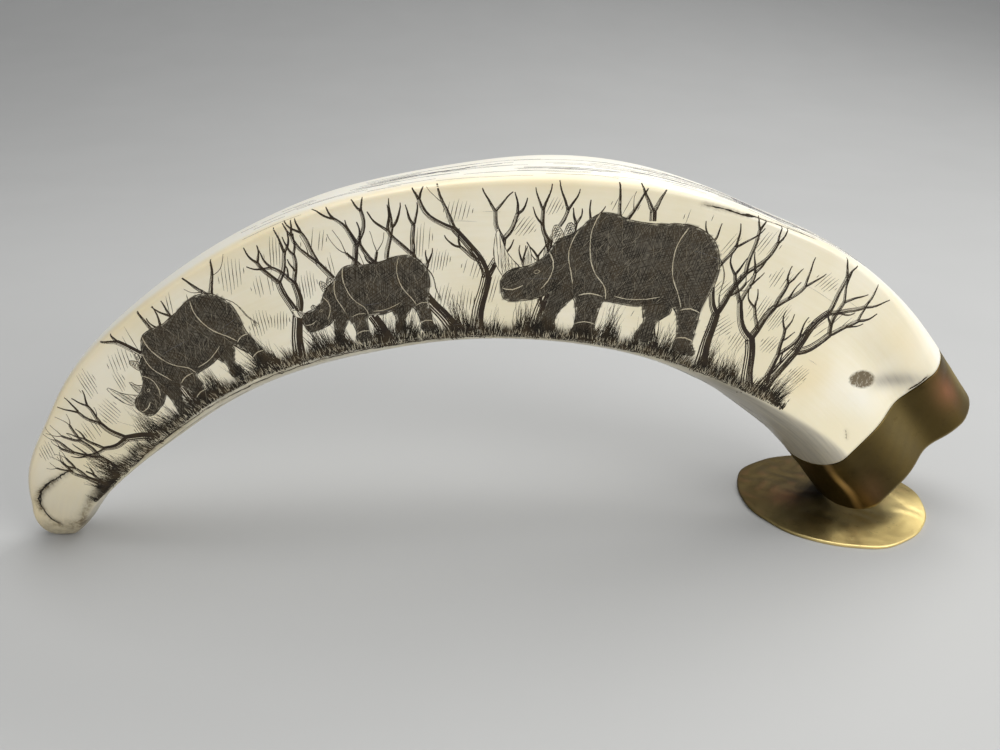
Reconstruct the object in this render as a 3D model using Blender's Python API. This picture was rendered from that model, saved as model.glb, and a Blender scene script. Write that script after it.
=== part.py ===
"""A carved tusk that rests on its tip and on a brass foot.

Sizes are in millimetres and are turned into metres where a mesh is made.
X runs from the tip to the foot, Y away from the engraved face, Z up.
The tusk is a run of sections. The cap is the same run carried on, so it
follows the butt when the stations change, and the foot follows the cap.
"""

import bpy
import numpy as np

MM = 0.001

# Clearance between separate pieces
GAP = 0.3

# The bow: how far the last station lies from the first, and how far the highest stands above the first
BOW_SPAN = 258.9
BOW_RISE = 74.7

# Stations of the tusk, from the tip to the end of the cap
# x, z: middle of the flat engraved face, seen from the front, stretched to the bow's span and rise
# half: half the height of that face, across the run of the tusk
# rise: how far the back of the tusk stands above the face's upper edge
# drop: how far the belly hangs below the face's lower edge
# front, back: depth in front of and behind the middle plane
# lean: how much the front falls back towards the upper edge, mm per mm
# furrow: depth of the furrow in the front near the butt
STATIONS = np.array(
    [
        [-118.5, 10.9, 6.5, 2.4, 2.2, 8.2, 8.8, 0.0, 0.0],
        [-114.2, 20.3, 9.3, 2.6, 1.8, 10.2, 11.0, 0.0, 0.0],
        [-105.1, 32.6, 11.8, 2.3, 2.0, 12.0, 12.8, 0.0, 0.0],
        [-94.9, 44.3, 14.0, 2.4, 3.2, 13.2, 14.4, 0.0, 0.0],
        [-83.3, 54.8, 14.7, 2.4, 4.4, 14.0, 15.6, 0.0, 0.0],
        [-70.8, 63.6, 15.3, 2.4, 5.0, 14.8, 16.8, 0.0, 0.0],
        [-57.4, 71.1, 16.4, 2.2, 5.2, 15.4, 17.6, 0.0, 0.0],
        [-43.4, 76.9, 17.7, 2.1, 5.0, 15.9, 18.2, 0.0, 0.0],
        [-28.7, 81.3, 19.0, 2.0, 4.6, 16.3, 18.6, 0.0, 0.0],
        [-13.4, 84.2, 19.6, 2.2, 4.2, 16.6, 18.8, 0.0, 0.0],
        [2.1, 85.6, 19.9, 3.2, 4.0, 16.8, 19.0, 0.0, 0.0],
        [17.7, 85.6, 20.3, 4.6, 3.8, 17.0, 19.0, 0.0, 0.0],
        [33.1, 84.5, 20.8, 5.0, 3.8, 17.2, 19.0, 0.0, 0.0],
        [48.4, 82.2, 21.4, 4.0, 3.9, 17.4, 19.0, 0.0, 0.0],
        [63.3, 78.5, 21.8, 2.4, 4.2, 17.6, 19.0, 0.0, 0.0],
        [77.8, 72.9, 21.8, 2.0, 5.2, 17.8, 18.9, 0.02, 0.0],
        [92.0, 66.5, 21.8, 2.4, 7.0, 17.8, 18.6, 0.06, 0.0],
        [105.3, 58.0, 20.9, 3.6, 8.8, 17.4, 18.2, 0.12, 0.5],
        [117.4, 47.4, 19.1, 6.0, 10.2, 16.6, 17.8, 0.19, 2.0],
        [127.8, 35.4, 17.4, 8.2, 11.4, 15.8, 17.4, 0.24, 2.9],
        [140.4, 19.8, 16.8, 9.0, 12.0, 15.4, 17.0, 0.25, 3.2],
    ]
)

# The furrow's place above the face's middle and its width
FURROW_AT = 4.5
FURROW_WIDE = 6.5

# Rounding of the section: 2 is a quarter ellipse, less is sharper
EDGE_POWER = 1.8
BACK_POWER = 2.15

# The rounded nose beyond the first station, which turns down to the table, and the wear where it stands
NOSE_LENGTH = 11.3
NOSE_TURN = 24.0
NOSE_TAPER = 0.26
NOSE_POWER = 2.5
NOSE_WORN = 0.2

# The brass cap: its length along the run, its sheet and its rounded end
CAP_LENGTH = 22.3
CAP_WALL = 0.9
CAP_EDGE = 1.6

# The brass foot: radius, thickness at the rim and how far its centre lies from the cap's lowest point
FOOT_RADIUS = 29.1
FOOT_RIM = 1.1
FOOT_CROWN = 2.11
FOOT_OUTWARD = 4.0
FOOT_CROWN_POWER = 2.2

# The disc's hand cut edge: waves around it, their height and their phase
FOOT_WAVES = ((3, 0.35, 0.4), (5, 0.22, 2.1), (8, 0.16, 0.9), (13, 0.10, 1.7))

# Colour, roughness and metallic value of each finish
FINISHES = {
    "ivory": ((0.82, 0.76, 0.62), 0.35, 0.0),
    "antique brass": ((0.34, 0.25, 0.10), 0.38, 1.0),
}

# How finely the pieces are faceted
RINGS = 62
NOSE_RINGS = 9
FACE_POINTS = 13
CORNER_POINTS = 6
BACK_POINTS = 13
SPIGOT_RINGS = 4
CAP_RINGS = 5
CAP_EDGE_RINGS = 5
SETTLING_TURNS = 4
FOOT_SEGMENTS = 64
FOOT_RINGS = (0.2, 0.42, 0.62, 0.78, 0.9, 0.97, 1.0)


def bow():
    """The stations, stretched to the bow's span and rise."""
    table = STATIONS.copy()
    table[:, 0] *= BOW_SPAN / np.ptp(table[:, 0])
    table[:, 1] *= BOW_RISE / (table[:, 1].max() - table[0, 1])
    return table


def run_of(stations):
    """Distance along the run at each station."""
    return np.r_[0.0, np.cumsum(np.hypot(*np.diff(stations[:, :2], axis=0).T))]


def spread(stations, at):
    """Values and direction at distances along the run: each column of the table is a natural cubic spline."""
    run = run_of(stations)
    at = np.atleast_1d(at)
    steps = np.diff(run)
    size = len(run)
    matrix = np.eye(size)
    for i in range(1, size - 1):
        matrix[i, i - 1 : i + 2] = steps[i - 1], 2 * (steps[i - 1] + steps[i]), steps[i]
    slopes = np.diff(stations, axis=0) / steps[:, None]
    right = np.zeros_like(stations)
    right[1:-1] = 6 * np.diff(slopes, axis=0)
    bend = np.linalg.solve(matrix, right)
    k = np.clip(np.searchsorted(run, at, side="right") - 1, 0, size - 2)
    h = steps[k][:, None]
    a = (run[k + 1] - at)[:, None] / h
    b = 1 - a
    values = (
        a * stations[k]
        + b * stations[k + 1]
        + ((a**3 - a) * bend[k] + (b**3 - b) * bend[k + 1]) * h**2 / 6
    )
    along = (
        (stations[k + 1] - stations[k]) / h
        + ((3 * b**2 - 1) * bend[k + 1] - (3 * a**2 - 1) * bend[k]) * h / 6
    )[:, :2]
    return values, along / np.linalg.norm(along, axis=1, keepdims=True)


def outline(half, rise, drop, front, back, lean, furrow, inset=0.0):
    """One section as points (across, y): a flat face, two rounded edges and a rounded back."""
    turn = np.linspace(0, np.pi / 2, CORNER_POINTS + 1)[1:]
    power = 2 / EDGE_POWER
    flat = np.linspace(-half, half, FACE_POINTS)
    face = np.stack([flat, np.full(FACE_POINTS, -front)], 1)
    out = np.sin(turn) ** power
    deep = -front * np.cos(turn) ** power
    upper = np.stack([half + rise * out, deep], 1)
    lower = np.stack([-half - drop * out, deep], 1)[::-1]
    around = np.linspace(0, np.pi, 2 * BACK_POINTS + 1)[1:-1]
    power = 2 / BACK_POWER
    middle = (rise - drop) / 2
    tall = half + (rise + drop) / 2
    rear = np.stack(
        [
            middle + tall * np.sign(np.cos(around)) * np.abs(np.cos(around)) ** power,
            back * np.sin(around) ** power,
        ],
        1,
    )
    ring = np.concatenate([face, upper, rear, lower])
    ahead = np.clip(-ring[:, 1] / front, 0, 1)
    dip = furrow * np.exp(-(((ring[:, 0] - FURROW_AT) / FURROW_WIDE) ** 2))
    ring[:, 1] += ahead * (lean * ring[:, 0] + dip)
    if inset:
        side = np.roll(ring, -1, 0) - np.roll(ring, 1, 0)
        side /= np.linalg.norm(side, axis=1, keepdims=True)
        ring = ring + inset * np.stack([-side[:, 1], side[:, 0]], 1)
    return ring


def stand(ring, place, way):
    """A section stood square to the run at a place in the middle plane."""
    return np.stack([place[0] - way[1] * ring[:, 0], ring[:, 1], place[1] + way[0] * ring[:, 0]], 1)


def sections(stations, at, insets=0.0):
    """Sections at distances along the run, each drawn in by its inset."""
    values, ways = spread(stations, at)
    insets = np.broadcast_to(insets, len(values))
    return np.array(
        [
            stand(outline(*row[2:], inset=inset), row[:2], way)
            for row, way, inset in zip(values, ways, insets)
        ]
    )


def nose(stations):
    """Sections that shrink to the tip's end."""
    values, ways = spread(stations, 0.0)
    row, way = values[0], ways[0]
    place = row[:2].copy()
    start = np.arctan2(-way[1], -way[0])
    rings = []
    before = 0.0
    for s in np.sin(np.linspace(0, np.pi / 2, NOSE_RINGS + 2)[1:]):
        turned = start + np.radians(NOSE_TURN) * s
        place = place + NOSE_LENGTH * (s - before) * np.array([np.cos(turned), np.sin(turned)])
        before = s
        ring = outline(*row[2:]) * (1 - NOSE_TAPER * s) * (1 - s**NOSE_POWER) ** 0.5
        rings.append(stand(ring, place, (-np.cos(turned), -np.sin(turned))))
    return np.array(rings)


def standing():
    """The stations, tilted and lifted until the worn tip stands on the table and the cap on the foot."""
    table = bow()
    reach = table[:, 0] - table[0, 0]
    for _ in range(SETTLING_TURNS):
        tip = nose(table)[..., 2].min() + NOSE_WORN
        low = lowest(make_cap(table)[0])
        tilt = (FOOT_CROWN + GAP - low[2] + tip) / (low[0] - table[0, 0])
        table[:, 1] += tilt * reach - tip
    return table


def lowest(points):
    """The lowest of some points."""
    return points[np.argmin(points[:, 2])]


def skin(rings, pole=None):
    """Faces between closed rings, closed by a pole or a flat end before them and a flat end after them."""
    count, around = rings.shape[:2]
    points = rings.reshape(-1, 3)
    i, j = np.meshgrid(np.arange(count - 1), np.arange(around), indexing="ij")
    a = (i * around + j).ravel()
    b = (i * around + (j + 1) % around).ravel()
    faces = np.stack([a, a + around, b + around, b], 1).tolist()
    if pole is None:
        faces.append(list(range(around)))
    else:
        points = np.vstack([points, pole])
        faces += [[count * around, j, (j + 1) % around] for j in range(around)]
    faces.append(list(range((count - 1) * around, count * around))[::-1])
    return points, faces


def make_tusk(stations):
    """The ivory: nose, carved length, and a spigot that fills the cap."""
    end = run_of(stations)[-1]
    seam = end - CAP_LENGTH
    tip = nose(stations)
    tip[..., 2] = np.maximum(tip[..., 2], 0.0)
    body = sections(stations, np.linspace(0.0, seam, RINGS))
    spigot = sections(stations, np.linspace(seam, end - CAP_WALL - GAP, SPIGOT_RINGS), CAP_WALL + GAP)
    return skin(np.concatenate([tip[-2::-1], body, spigot]), tip[-1].mean(axis=0))


def make_cap(stations):
    """The brass cup: from its floor out to the rim inside, and back to the rounded end outside."""
    end = run_of(stations)[-1]
    rim = end - CAP_LENGTH + GAP
    inner = sections(stations, np.linspace(end - CAP_WALL, rim, CAP_RINGS), CAP_WALL)
    turn = np.linspace(0, np.pi / 2, CAP_EDGE_RINGS)
    edge = end - CAP_EDGE * (1 - np.sin(turn))
    sleeve = np.linspace(rim, edge[0], CAP_RINGS)[:-1]
    outer = sections(
        stations,
        np.r_[sleeve, edge],
        np.r_[np.zeros(len(sleeve)), CAP_EDGE * (1 - np.cos(turn))],
    )
    return skin(np.concatenate([inner, outer]))


def make_foot(cap):
    """The hand cut disc under the cap: flat below, and crowned above up to the cap."""
    low = lowest(cap)
    turn = np.linspace(0, 2 * np.pi, FOOT_SEGMENTS, endpoint=False)
    radius = np.full(FOOT_SEGMENTS, FOOT_RADIUS)
    for waves, size, phase in FOOT_WAVES:
        radius += size * np.sin(waves * turn + phase)
    share = np.array(FOOT_RINGS)[:, None]
    height = FOOT_RIM + (FOOT_CROWN - FOOT_RIM) * (1 - share**FOOT_CROWN_POWER)
    top = np.stack(
        [
            low[0] + FOOT_OUTWARD + share * radius * np.cos(turn),
            share * radius * np.sin(turn),
            height + 0 * turn,
        ],
        2,
    )
    base = top[-1].copy()
    base[:, 2] = 0.0
    rings = np.concatenate([top, base[None]])
    return skin(rings, (low[0] + FOOT_OUTWARD, 0.0, FOOT_CROWN))


def finish(name):
    """The material of a finish, made once."""
    if name in bpy.data.materials:
        return bpy.data.materials[name]
    colour, roughness, metallic = FINISHES[name]
    made = bpy.data.materials.new(name)
    made.use_nodes = True
    shader = made.node_tree.nodes["Principled BSDF"]
    shader.inputs["Base Color"].default_value = (*colour, 1.0)
    shader.inputs["Roughness"].default_value = roughness
    shader.inputs["Metallic"].default_value = metallic
    return made


def add(name, points, faces, finish_name, holder):
    """One closed mesh object, in metres, under its holder."""
    mesh = bpy.data.meshes.new(name)
    mesh.from_pydata((points * MM).tolist(), [], faces)
    mesh.materials.append(finish(finish_name))
    made = bpy.data.objects.new(name, mesh)
    made.parent = holder
    bpy.context.scene.collection.objects.link(made)


def main():
    for old in list(bpy.data.objects):
        bpy.data.objects.remove(old)
    stations = standing()
    tusk, cap = make_tusk(stations), make_cap(stations)
    foot = make_foot(cap[0])
    everything = np.vstack([tusk[0], cap[0], foot[0]])
    middle = (everything.min(axis=0) + everything.max(axis=0)) / 2
    holder = bpy.data.objects.new("carved_tusk", None)
    holder.location = (-middle[0] * MM, -middle[1] * MM, 0.0)
    bpy.context.scene.collection.objects.link(holder)
    add("tusk", *tusk, "ivory", holder)
    add("brass_cap", *cap, "antique brass", holder)
    add("brass_foot", *foot, "antique brass", holder)


main()
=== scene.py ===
"""The looks of a carved tusk on a brass foot.

The tusk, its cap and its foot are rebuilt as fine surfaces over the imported
solids, from the same stations, and an engraving is laid on the ivory as
thousands of inked strokes. Sizes are in millimetres until a mesh is made.

Two coordinates lie on the ivory: the run, from the tip towards the butt, and
the height, measured around the section from the middle of the flat face, up
towards the upper edge and over it, or down towards the belly.
"""

import sys

import logging
from dataclasses import dataclass, field
from enum import Enum

import bpy
import numpy as np
from mathutils import Matrix, Vector


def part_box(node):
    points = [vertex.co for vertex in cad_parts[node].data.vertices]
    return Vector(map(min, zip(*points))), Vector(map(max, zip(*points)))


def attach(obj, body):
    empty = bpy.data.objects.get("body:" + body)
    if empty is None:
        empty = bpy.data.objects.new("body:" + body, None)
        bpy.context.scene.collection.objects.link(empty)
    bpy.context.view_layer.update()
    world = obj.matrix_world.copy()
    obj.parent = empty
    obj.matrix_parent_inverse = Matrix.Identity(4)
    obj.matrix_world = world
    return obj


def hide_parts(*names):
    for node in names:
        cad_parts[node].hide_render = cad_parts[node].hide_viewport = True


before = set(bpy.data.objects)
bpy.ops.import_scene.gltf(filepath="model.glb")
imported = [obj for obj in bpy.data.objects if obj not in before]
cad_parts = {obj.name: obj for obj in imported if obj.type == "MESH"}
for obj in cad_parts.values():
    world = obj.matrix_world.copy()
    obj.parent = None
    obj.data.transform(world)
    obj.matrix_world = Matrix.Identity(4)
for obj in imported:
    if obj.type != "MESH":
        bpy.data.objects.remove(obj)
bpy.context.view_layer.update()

Array = np.ndarray
MM = 0.001
DECIMETRE = 100.0
BAKE_MARGIN = 0.01
BAKE_SPAN = 0.98
LOG = logging.getLogger("tusk")

# x, z: middle of the flat engraved face; half: half its height; rise, drop: how far the back stands
# above it and the belly below it; front, back: depths; lean and furrow of the front near the butt
STATIONS = np.array(
    [
        [-118.5, 10.9, 6.5, 2.4, 2.2, 8.2, 8.8, 0.0, 0.0],
        [-114.2, 20.3, 9.3, 2.6, 1.8, 10.2, 11.0, 0.0, 0.0],
        [-105.1, 32.6, 11.8, 2.3, 2.0, 12.0, 12.8, 0.0, 0.0],
        [-94.9, 44.3, 14.0, 2.4, 3.2, 13.2, 14.4, 0.0, 0.0],
        [-83.3, 54.8, 14.7, 2.4, 4.4, 14.0, 15.6, 0.0, 0.0],
        [-70.8, 63.6, 15.3, 2.4, 5.0, 14.8, 16.8, 0.0, 0.0],
        [-57.4, 71.1, 16.4, 2.2, 5.2, 15.4, 17.6, 0.0, 0.0],
        [-43.4, 76.9, 17.7, 2.1, 5.0, 15.9, 18.2, 0.0, 0.0],
        [-28.7, 81.3, 19.0, 2.0, 4.6, 16.3, 18.6, 0.0, 0.0],
        [-13.4, 84.2, 19.6, 2.2, 4.2, 16.6, 18.8, 0.0, 0.0],
        [2.1, 85.6, 19.9, 3.2, 4.0, 16.8, 19.0, 0.0, 0.0],
        [17.7, 85.6, 20.3, 4.6, 3.8, 17.0, 19.0, 0.0, 0.0],
        [33.1, 84.5, 20.8, 5.0, 3.8, 17.2, 19.0, 0.0, 0.0],
        [48.4, 82.2, 21.4, 4.0, 3.9, 17.4, 19.0, 0.0, 0.0],
        [63.3, 78.5, 21.8, 2.4, 4.2, 17.6, 19.0, 0.0, 0.0],
        [77.8, 72.9, 21.8, 2.0, 5.2, 17.8, 18.9, 0.02, 0.0],
        [92.0, 66.5, 21.8, 2.4, 7.0, 17.8, 18.6, 0.06, 0.0],
        [105.3, 58.0, 20.9, 3.6, 8.8, 17.4, 18.2, 0.12, 0.5],
        [117.4, 47.4, 19.1, 6.0, 10.2, 16.6, 17.8, 0.19, 2.0],
        [127.8, 35.4, 17.4, 8.2, 11.4, 15.8, 17.4, 0.24, 2.9],
        [140.4, 19.8, 16.8, 9.0, 12.0, 15.4, 17.0, 0.25, 3.2],
    ]
)


def spline(knots: Array, run: Array, at: Array) -> tuple[Array, Array]:
    """Natural cubic spline: the two knots of a span blend linearly, plus cubic terms for an even bend.

    Args:
        knots: One row of values for each knot.
        run: Where the knots lie, rising.
        at: Where the values are wanted.

    Returns:
        The values at those places, and their slopes along the run.
    """
    steps = np.diff(run)
    inner = np.arange(1, len(run) - 1)
    matrix = np.eye(len(run))
    matrix[inner, inner - 1] = steps[:-1]
    matrix[inner, inner] = 2 * (steps[:-1] + steps[1:])
    matrix[inner, inner + 1] = steps[1:]
    right = np.zeros_like(knots)
    right[1:-1] = 6 * np.diff(np.diff(knots, axis=0) / steps[:, None], axis=0)
    bend = np.linalg.solve(matrix, right)
    k = np.clip(np.searchsorted(run, at, side="right") - 1, 0, len(run) - 2)
    h = steps[k][:, None]
    a = (run[k + 1] - at)[:, None] / h
    b = 1 - a
    values = a * knots[k] + b * knots[k + 1]
    values = values + ((a**3 - a) * bend[k] + (b**3 - b) * bend[k + 1]) * h**2 / 6
    slopes = (knots[k + 1] - knots[k]) / h
    slopes = slopes + ((3 * b**2 - 1) * bend[k + 1] - (3 * a**2 - 1) * bend[k]) * h / 6
    return values, slopes


@dataclass(frozen=True)
class Section:
    """The outline across the run: a flat face, two rounded edges and a rounded back."""

    edge_power: float = 1.8
    back_power: float = 2.15
    furrow_at: float = 4.5
    furrow_wide: float = 6.5
    face_points: int = 48
    edge_points: int = 30
    back_points: int = 120

    def rings(self, stations: Array, inset: Array | float = 0.0) -> Array:
        """Superellipse arcs joined to a straight face, leaned back and furrowed where the front is near.

        Args:
            stations: Rows of x, z, half, rise, drop, front, back, lean, furrow.
            inset: How far each section is drawn in.

        Returns:
            Points (across, depth) with shape (stations, points, 2), from the face's middle upwards.
        """
        half, rise, drop, front, back, lean, furrow = stations[:, 2:, None].transpose(1, 0, 2)
        flat = np.linspace(0, 1, self.face_points // 2, endpoint=False)[None]
        turn = np.linspace(0, np.pi / 2, self.edge_points, endpoint=False)[None]
        around = np.linspace(0, np.pi, self.back_points, endpoint=False)[None]
        edge = 2 / self.edge_power
        out, deep = np.sin(turn) ** edge, np.cos(turn) ** edge
        down = np.pi / 2 - turn
        out_down, deep_down = np.sin(down) ** edge, np.cos(down) ** edge
        bulge = 2 / self.back_power
        tall = half + (rise + drop) / 2
        swing = np.sign(np.cos(around)) * np.abs(np.cos(around)) ** bulge
        across = np.concatenate(
            [
                half * flat,
                half + rise * out,
                (rise - drop) / 2 + tall * swing,
                -half - drop * out_down,
                -half * (1 - flat),
            ],
            1,
        )
        depth = np.concatenate(
            [
                -front + 0 * flat,
                -front * deep,
                back * np.sin(around) ** bulge,
                -front * deep_down,
                -front + 0 * flat,
            ],
            1,
        )
        ahead = np.clip(-depth / front, 0, 1)
        dip = furrow * np.exp(-(((across - self.furrow_at) / self.furrow_wide) ** 2))
        depth = depth + ahead * (lean * across + dip)
        ring = np.stack([across, depth], 2)
        side = np.roll(ring, -1, 1) - np.roll(ring, 1, 1)
        side /= np.linalg.norm(side, axis=2, keepdims=True) + 1e-9
        drawn = np.broadcast_to(inset, len(ring))[:, None, None]
        return ring + drawn * np.stack([-side[..., 1], side[..., 0]], 2)


def evened(rings: Array, count: int) -> Array:
    """Closed rings with their points moved to equal steps of arc length, looked up in the running length.

    Args:
        rings: Points with shape (rings, points, 3).
        count: How many points each ring gets.

    Returns:
        The rings, each starting half way round from where it started.
    """
    closed = np.concatenate([rings, rings[:, :1]], 1)
    run = np.cumsum(np.linalg.norm(np.diff(closed, axis=1), axis=2), 1)
    run = np.concatenate([np.zeros((len(rings), 1)), run], 1)
    share = run / run[:, -1:] + 2 * np.arange(len(rings))[:, None]
    want = (np.arange(count)[None] / count + 0.5) % 1 + 2 * np.arange(len(rings))[:, None]
    found = np.searchsorted(share.ravel(), want.ravel(), side="right") - 1
    found = found.reshape(want.shape)
    points = closed.reshape(-1, 3)
    low, high = share.ravel()[found], share.ravel()[found + 1]
    part = ((want - low) / np.maximum(high - low, 1e-9))[..., None]
    return points[found] * (1 - part) + points[found + 1] * part


@dataclass
class Bow:
    """The bowed run of sections that tusk and cap share."""

    stations: Array
    section: Section = Section()
    nose_length: float = 11.3
    nose_turn: float = 24.0
    nose_taper: float = 0.26
    nose_power: float = 2.5
    nose_knots: int = 11
    run: Array = field(init=False)

    def __post_init__(self) -> None:
        """Works out the chord length at each station."""
        hops = np.hypot(*np.diff(self.stations[:, :2], axis=0).T)
        self.run = np.r_[0.0, np.cumsum(hops)]

    @property
    def length(self) -> float:
        """Length of the run from the first station to the last."""
        return float(self.run[-1])

    def at(self, run: Array) -> tuple[Array, Array]:
        """Station values and unit directions in the plane x, z at distances along the run."""
        values, slopes = spline(self.stations, self.run, np.atleast_1d(run))
        ways = slopes[:, :2]
        return values, ways / np.linalg.norm(ways, axis=1, keepdims=True)

    @staticmethod
    def stand(rings: Array, places: Array, ways: Array) -> Array:
        """Sections stood square to the run: place plus across along the normal, and depth along y."""
        across, depth = rings[..., 0], rings[..., 1]
        return np.stack(
            [
                places[:, :1] - ways[:, 1:] * across,
                depth,
                places[:, 1:2] + ways[:, :1] * across,
            ],
            2,
        )

    def sleeve(self, run: Array, inset: Array | float = 0.0) -> Array:
        """Stood sections at distances along the run, each drawn in by its inset."""
        values, ways = self.at(run)
        return self.stand(self.section.rings(values, inset), values[:, :2], ways)

    def nose(self, count: int) -> tuple[Array, Array, Array]:
        """The end of the tip: the first section shrinks by a power curve while the run turns down.

        Args:
            count: How many sections to make.

        Returns:
            Stood sections from the pole's end to the first station, their runs (below zero), and the pole.
        """
        values, ways = self.at(0.0)
        start = np.arctan2(-ways[0, 1], -ways[0, 0])
        knots = np.sin(np.linspace(0, np.pi / 2, self.nose_knots))
        turned = start + np.radians(self.nose_turn) * knots
        hops = self.nose_length * np.diff(knots)[:, None] * np.stack([np.cos(turned), np.sin(turned)], 1)[1:]
        track = values[0, :2] + np.concatenate([np.zeros((1, 2)), np.cumsum(hops, 0)])
        share = np.sin(np.linspace(np.pi / 2, 0, count + 1, endpoint=False)[1:])
        places, _ = spline(track, knots, share)
        facing = start + np.radians(self.nose_turn) * share
        size = (1 - self.nose_taper * share) * (1 - share**self.nose_power) ** 0.5
        rings = self.section.rings(np.repeat(values, count, 0)) * size[:, None, None]
        stood = self.stand(rings, places, -np.stack([np.cos(facing), np.sin(facing)], 1))
        stood[..., 2] = np.maximum(stood[..., 2], 0.0)
        pole = np.array([track[-1, 0], 0.0, max(track[-1, 1], 0.0)])
        return stood, -self.nose_length * share, pole


def make_mesh(name: str, points: Array, loops: Array, sizes: Array, smooth: bool = True) -> bpy.types.Object:
    """A mesh object from whole arrays.

    Args:
        name: The piece's name.
        points: Vertices in millimetres in the row's frame.
        loops: Vertex of every face corner, face after face.
        sizes: Number of corners of every face.
        smooth: Whether the faces are shaded smooth.

    Returns:
        The new object, at the origin.
    """
    mesh = bpy.data.meshes.new(name)
    mesh.vertices.add(len(points))
    mesh.vertices.foreach_set("co", (points * MM).astype(np.float32).ravel())
    mesh.loops.add(len(loops))
    mesh.loops.foreach_set("vertex_index", loops.astype(np.int32))
    mesh.polygons.add(len(sizes))
    starts = np.concatenate([[0], np.cumsum(sizes)[:-1]])
    mesh.polygons.foreach_set("loop_start", starts.astype(np.int32))
    mesh.polygons.foreach_set("use_smooth", np.full(len(sizes), smooth))
    mesh.update(calc_edges=True)
    mesh.validate()
    made = bpy.data.objects.new(name, mesh)
    bpy.context.scene.collection.objects.link(made)
    return made


def add_attribute(piece: bpy.types.Object, name: str, values: Array) -> None:
    """Writes one number for each vertex."""
    layer = piece.data.attributes.new(name, "FLOAT", "POINT")
    layer.data.foreach_set("value", values.astype(np.float32).ravel())


def add_uv(piece: bpy.types.Object, name: str, corners: Array) -> None:
    """Writes one UV pair for each face corner."""
    layer = piece.data.uv_layers.new(name=name)
    layer.data.foreach_set("uv", corners.astype(np.float32).ravel())


def sheath(
    name: str, rings: Array, first: Array, last: Array, labels: Array | None = None
) -> bpy.types.Object:
    """Closed rings joined by quads, with a fan of triangles to a pole at each end.

    Args:
        name: The piece's name.
        rings: Points with shape (rings, points, 3).
        first: Pole before the first ring.
        last: Pole after the last ring.
        labels: Map coordinate pairs with shape (rings, points + 1, 2) for the map named run.

    Returns:
        The object, with a grid map named OFBake.
    """
    count, around = rings.shape[:2]
    i, j = np.meshgrid(np.arange(count - 1), np.arange(around), indexing="ij")
    k = (j + 1) % around
    here, ahead = i * around, (i + 1) * around
    quads = np.stack([here + j, ahead + j, ahead + k, here + k], 2)
    cells = np.stack([i, j, i + 1, j, i + 1, j + 1, i, j + 1], 2)
    loops, grid = [quads.ravel()], [cells.reshape(-1, 2)]
    sizes = np.r_[np.full(i.size, 4), np.full(2 * around, 3)]
    j = np.arange(around)
    pole = count * around
    for ring, top, a, b in ((0, pole, j, j + 1), (count - 1, pole + 1, j + 1, j)):
        row, tops = np.full(around, ring), np.full(around, top)
        fan = np.stack([row * around + a % around, row * around + b % around, tops], 1)
        loops.append(fan.ravel())
        grid.append(np.stack([row, a, row, b, row, j], 1).reshape(-1, 2))
    points = np.vstack([rings.reshape(-1, 3), first, last])
    made = make_mesh(name, points, np.concatenate(loops), sizes)
    places = np.concatenate(grid)
    add_uv(made, "OFBake", BAKE_MARGIN + BAKE_SPAN * places / np.array([count - 1, around]))
    if labels is not None:
        add_uv(made, "run", labels[places[:, 0], places[:, 1]])
    return made


class Value:
    """A number that varies over a surface: a socket whose operators add Math nodes."""

    def __init__(self, graph: "Graph", socket: bpy.types.NodeSocket) -> None:
        """Wraps an output socket of a graph."""
        self.graph = graph
        self.socket = socket

    def _math(self, operation: str, *terms: "Value | float") -> "Value":
        """One Math node on these terms."""
        made = self.graph.node("ShaderNodeMath", {"operation": operation}, dict(enumerate(terms)))
        return Value(self.graph, made.outputs[0])

    def __add__(self, other: "Value | float") -> "Value":
        """Sum."""
        return self._math("ADD", self, other)

    def __radd__(self, other: float) -> "Value":
        """Sum with the number first."""
        return self._math("ADD", other, self)

    def __sub__(self, other: "Value | float") -> "Value":
        """Difference."""
        return self._math("SUBTRACT", self, other)

    def __rsub__(self, other: float) -> "Value":
        """Difference with the number first."""
        return self._math("SUBTRACT", other, self)

    def __mul__(self, other: "Value | float") -> "Value":
        """Product."""
        return self._math("MULTIPLY", self, other)

    def __rmul__(self, other: float) -> "Value":
        """Product with the number first."""
        return self._math("MULTIPLY", other, self)

    def clamp(self) -> "Value":
        """The value held between 0 and 1."""
        return self._math("MINIMUM", self._math("MAXIMUM", self, 0.0), 1.0)


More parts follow.
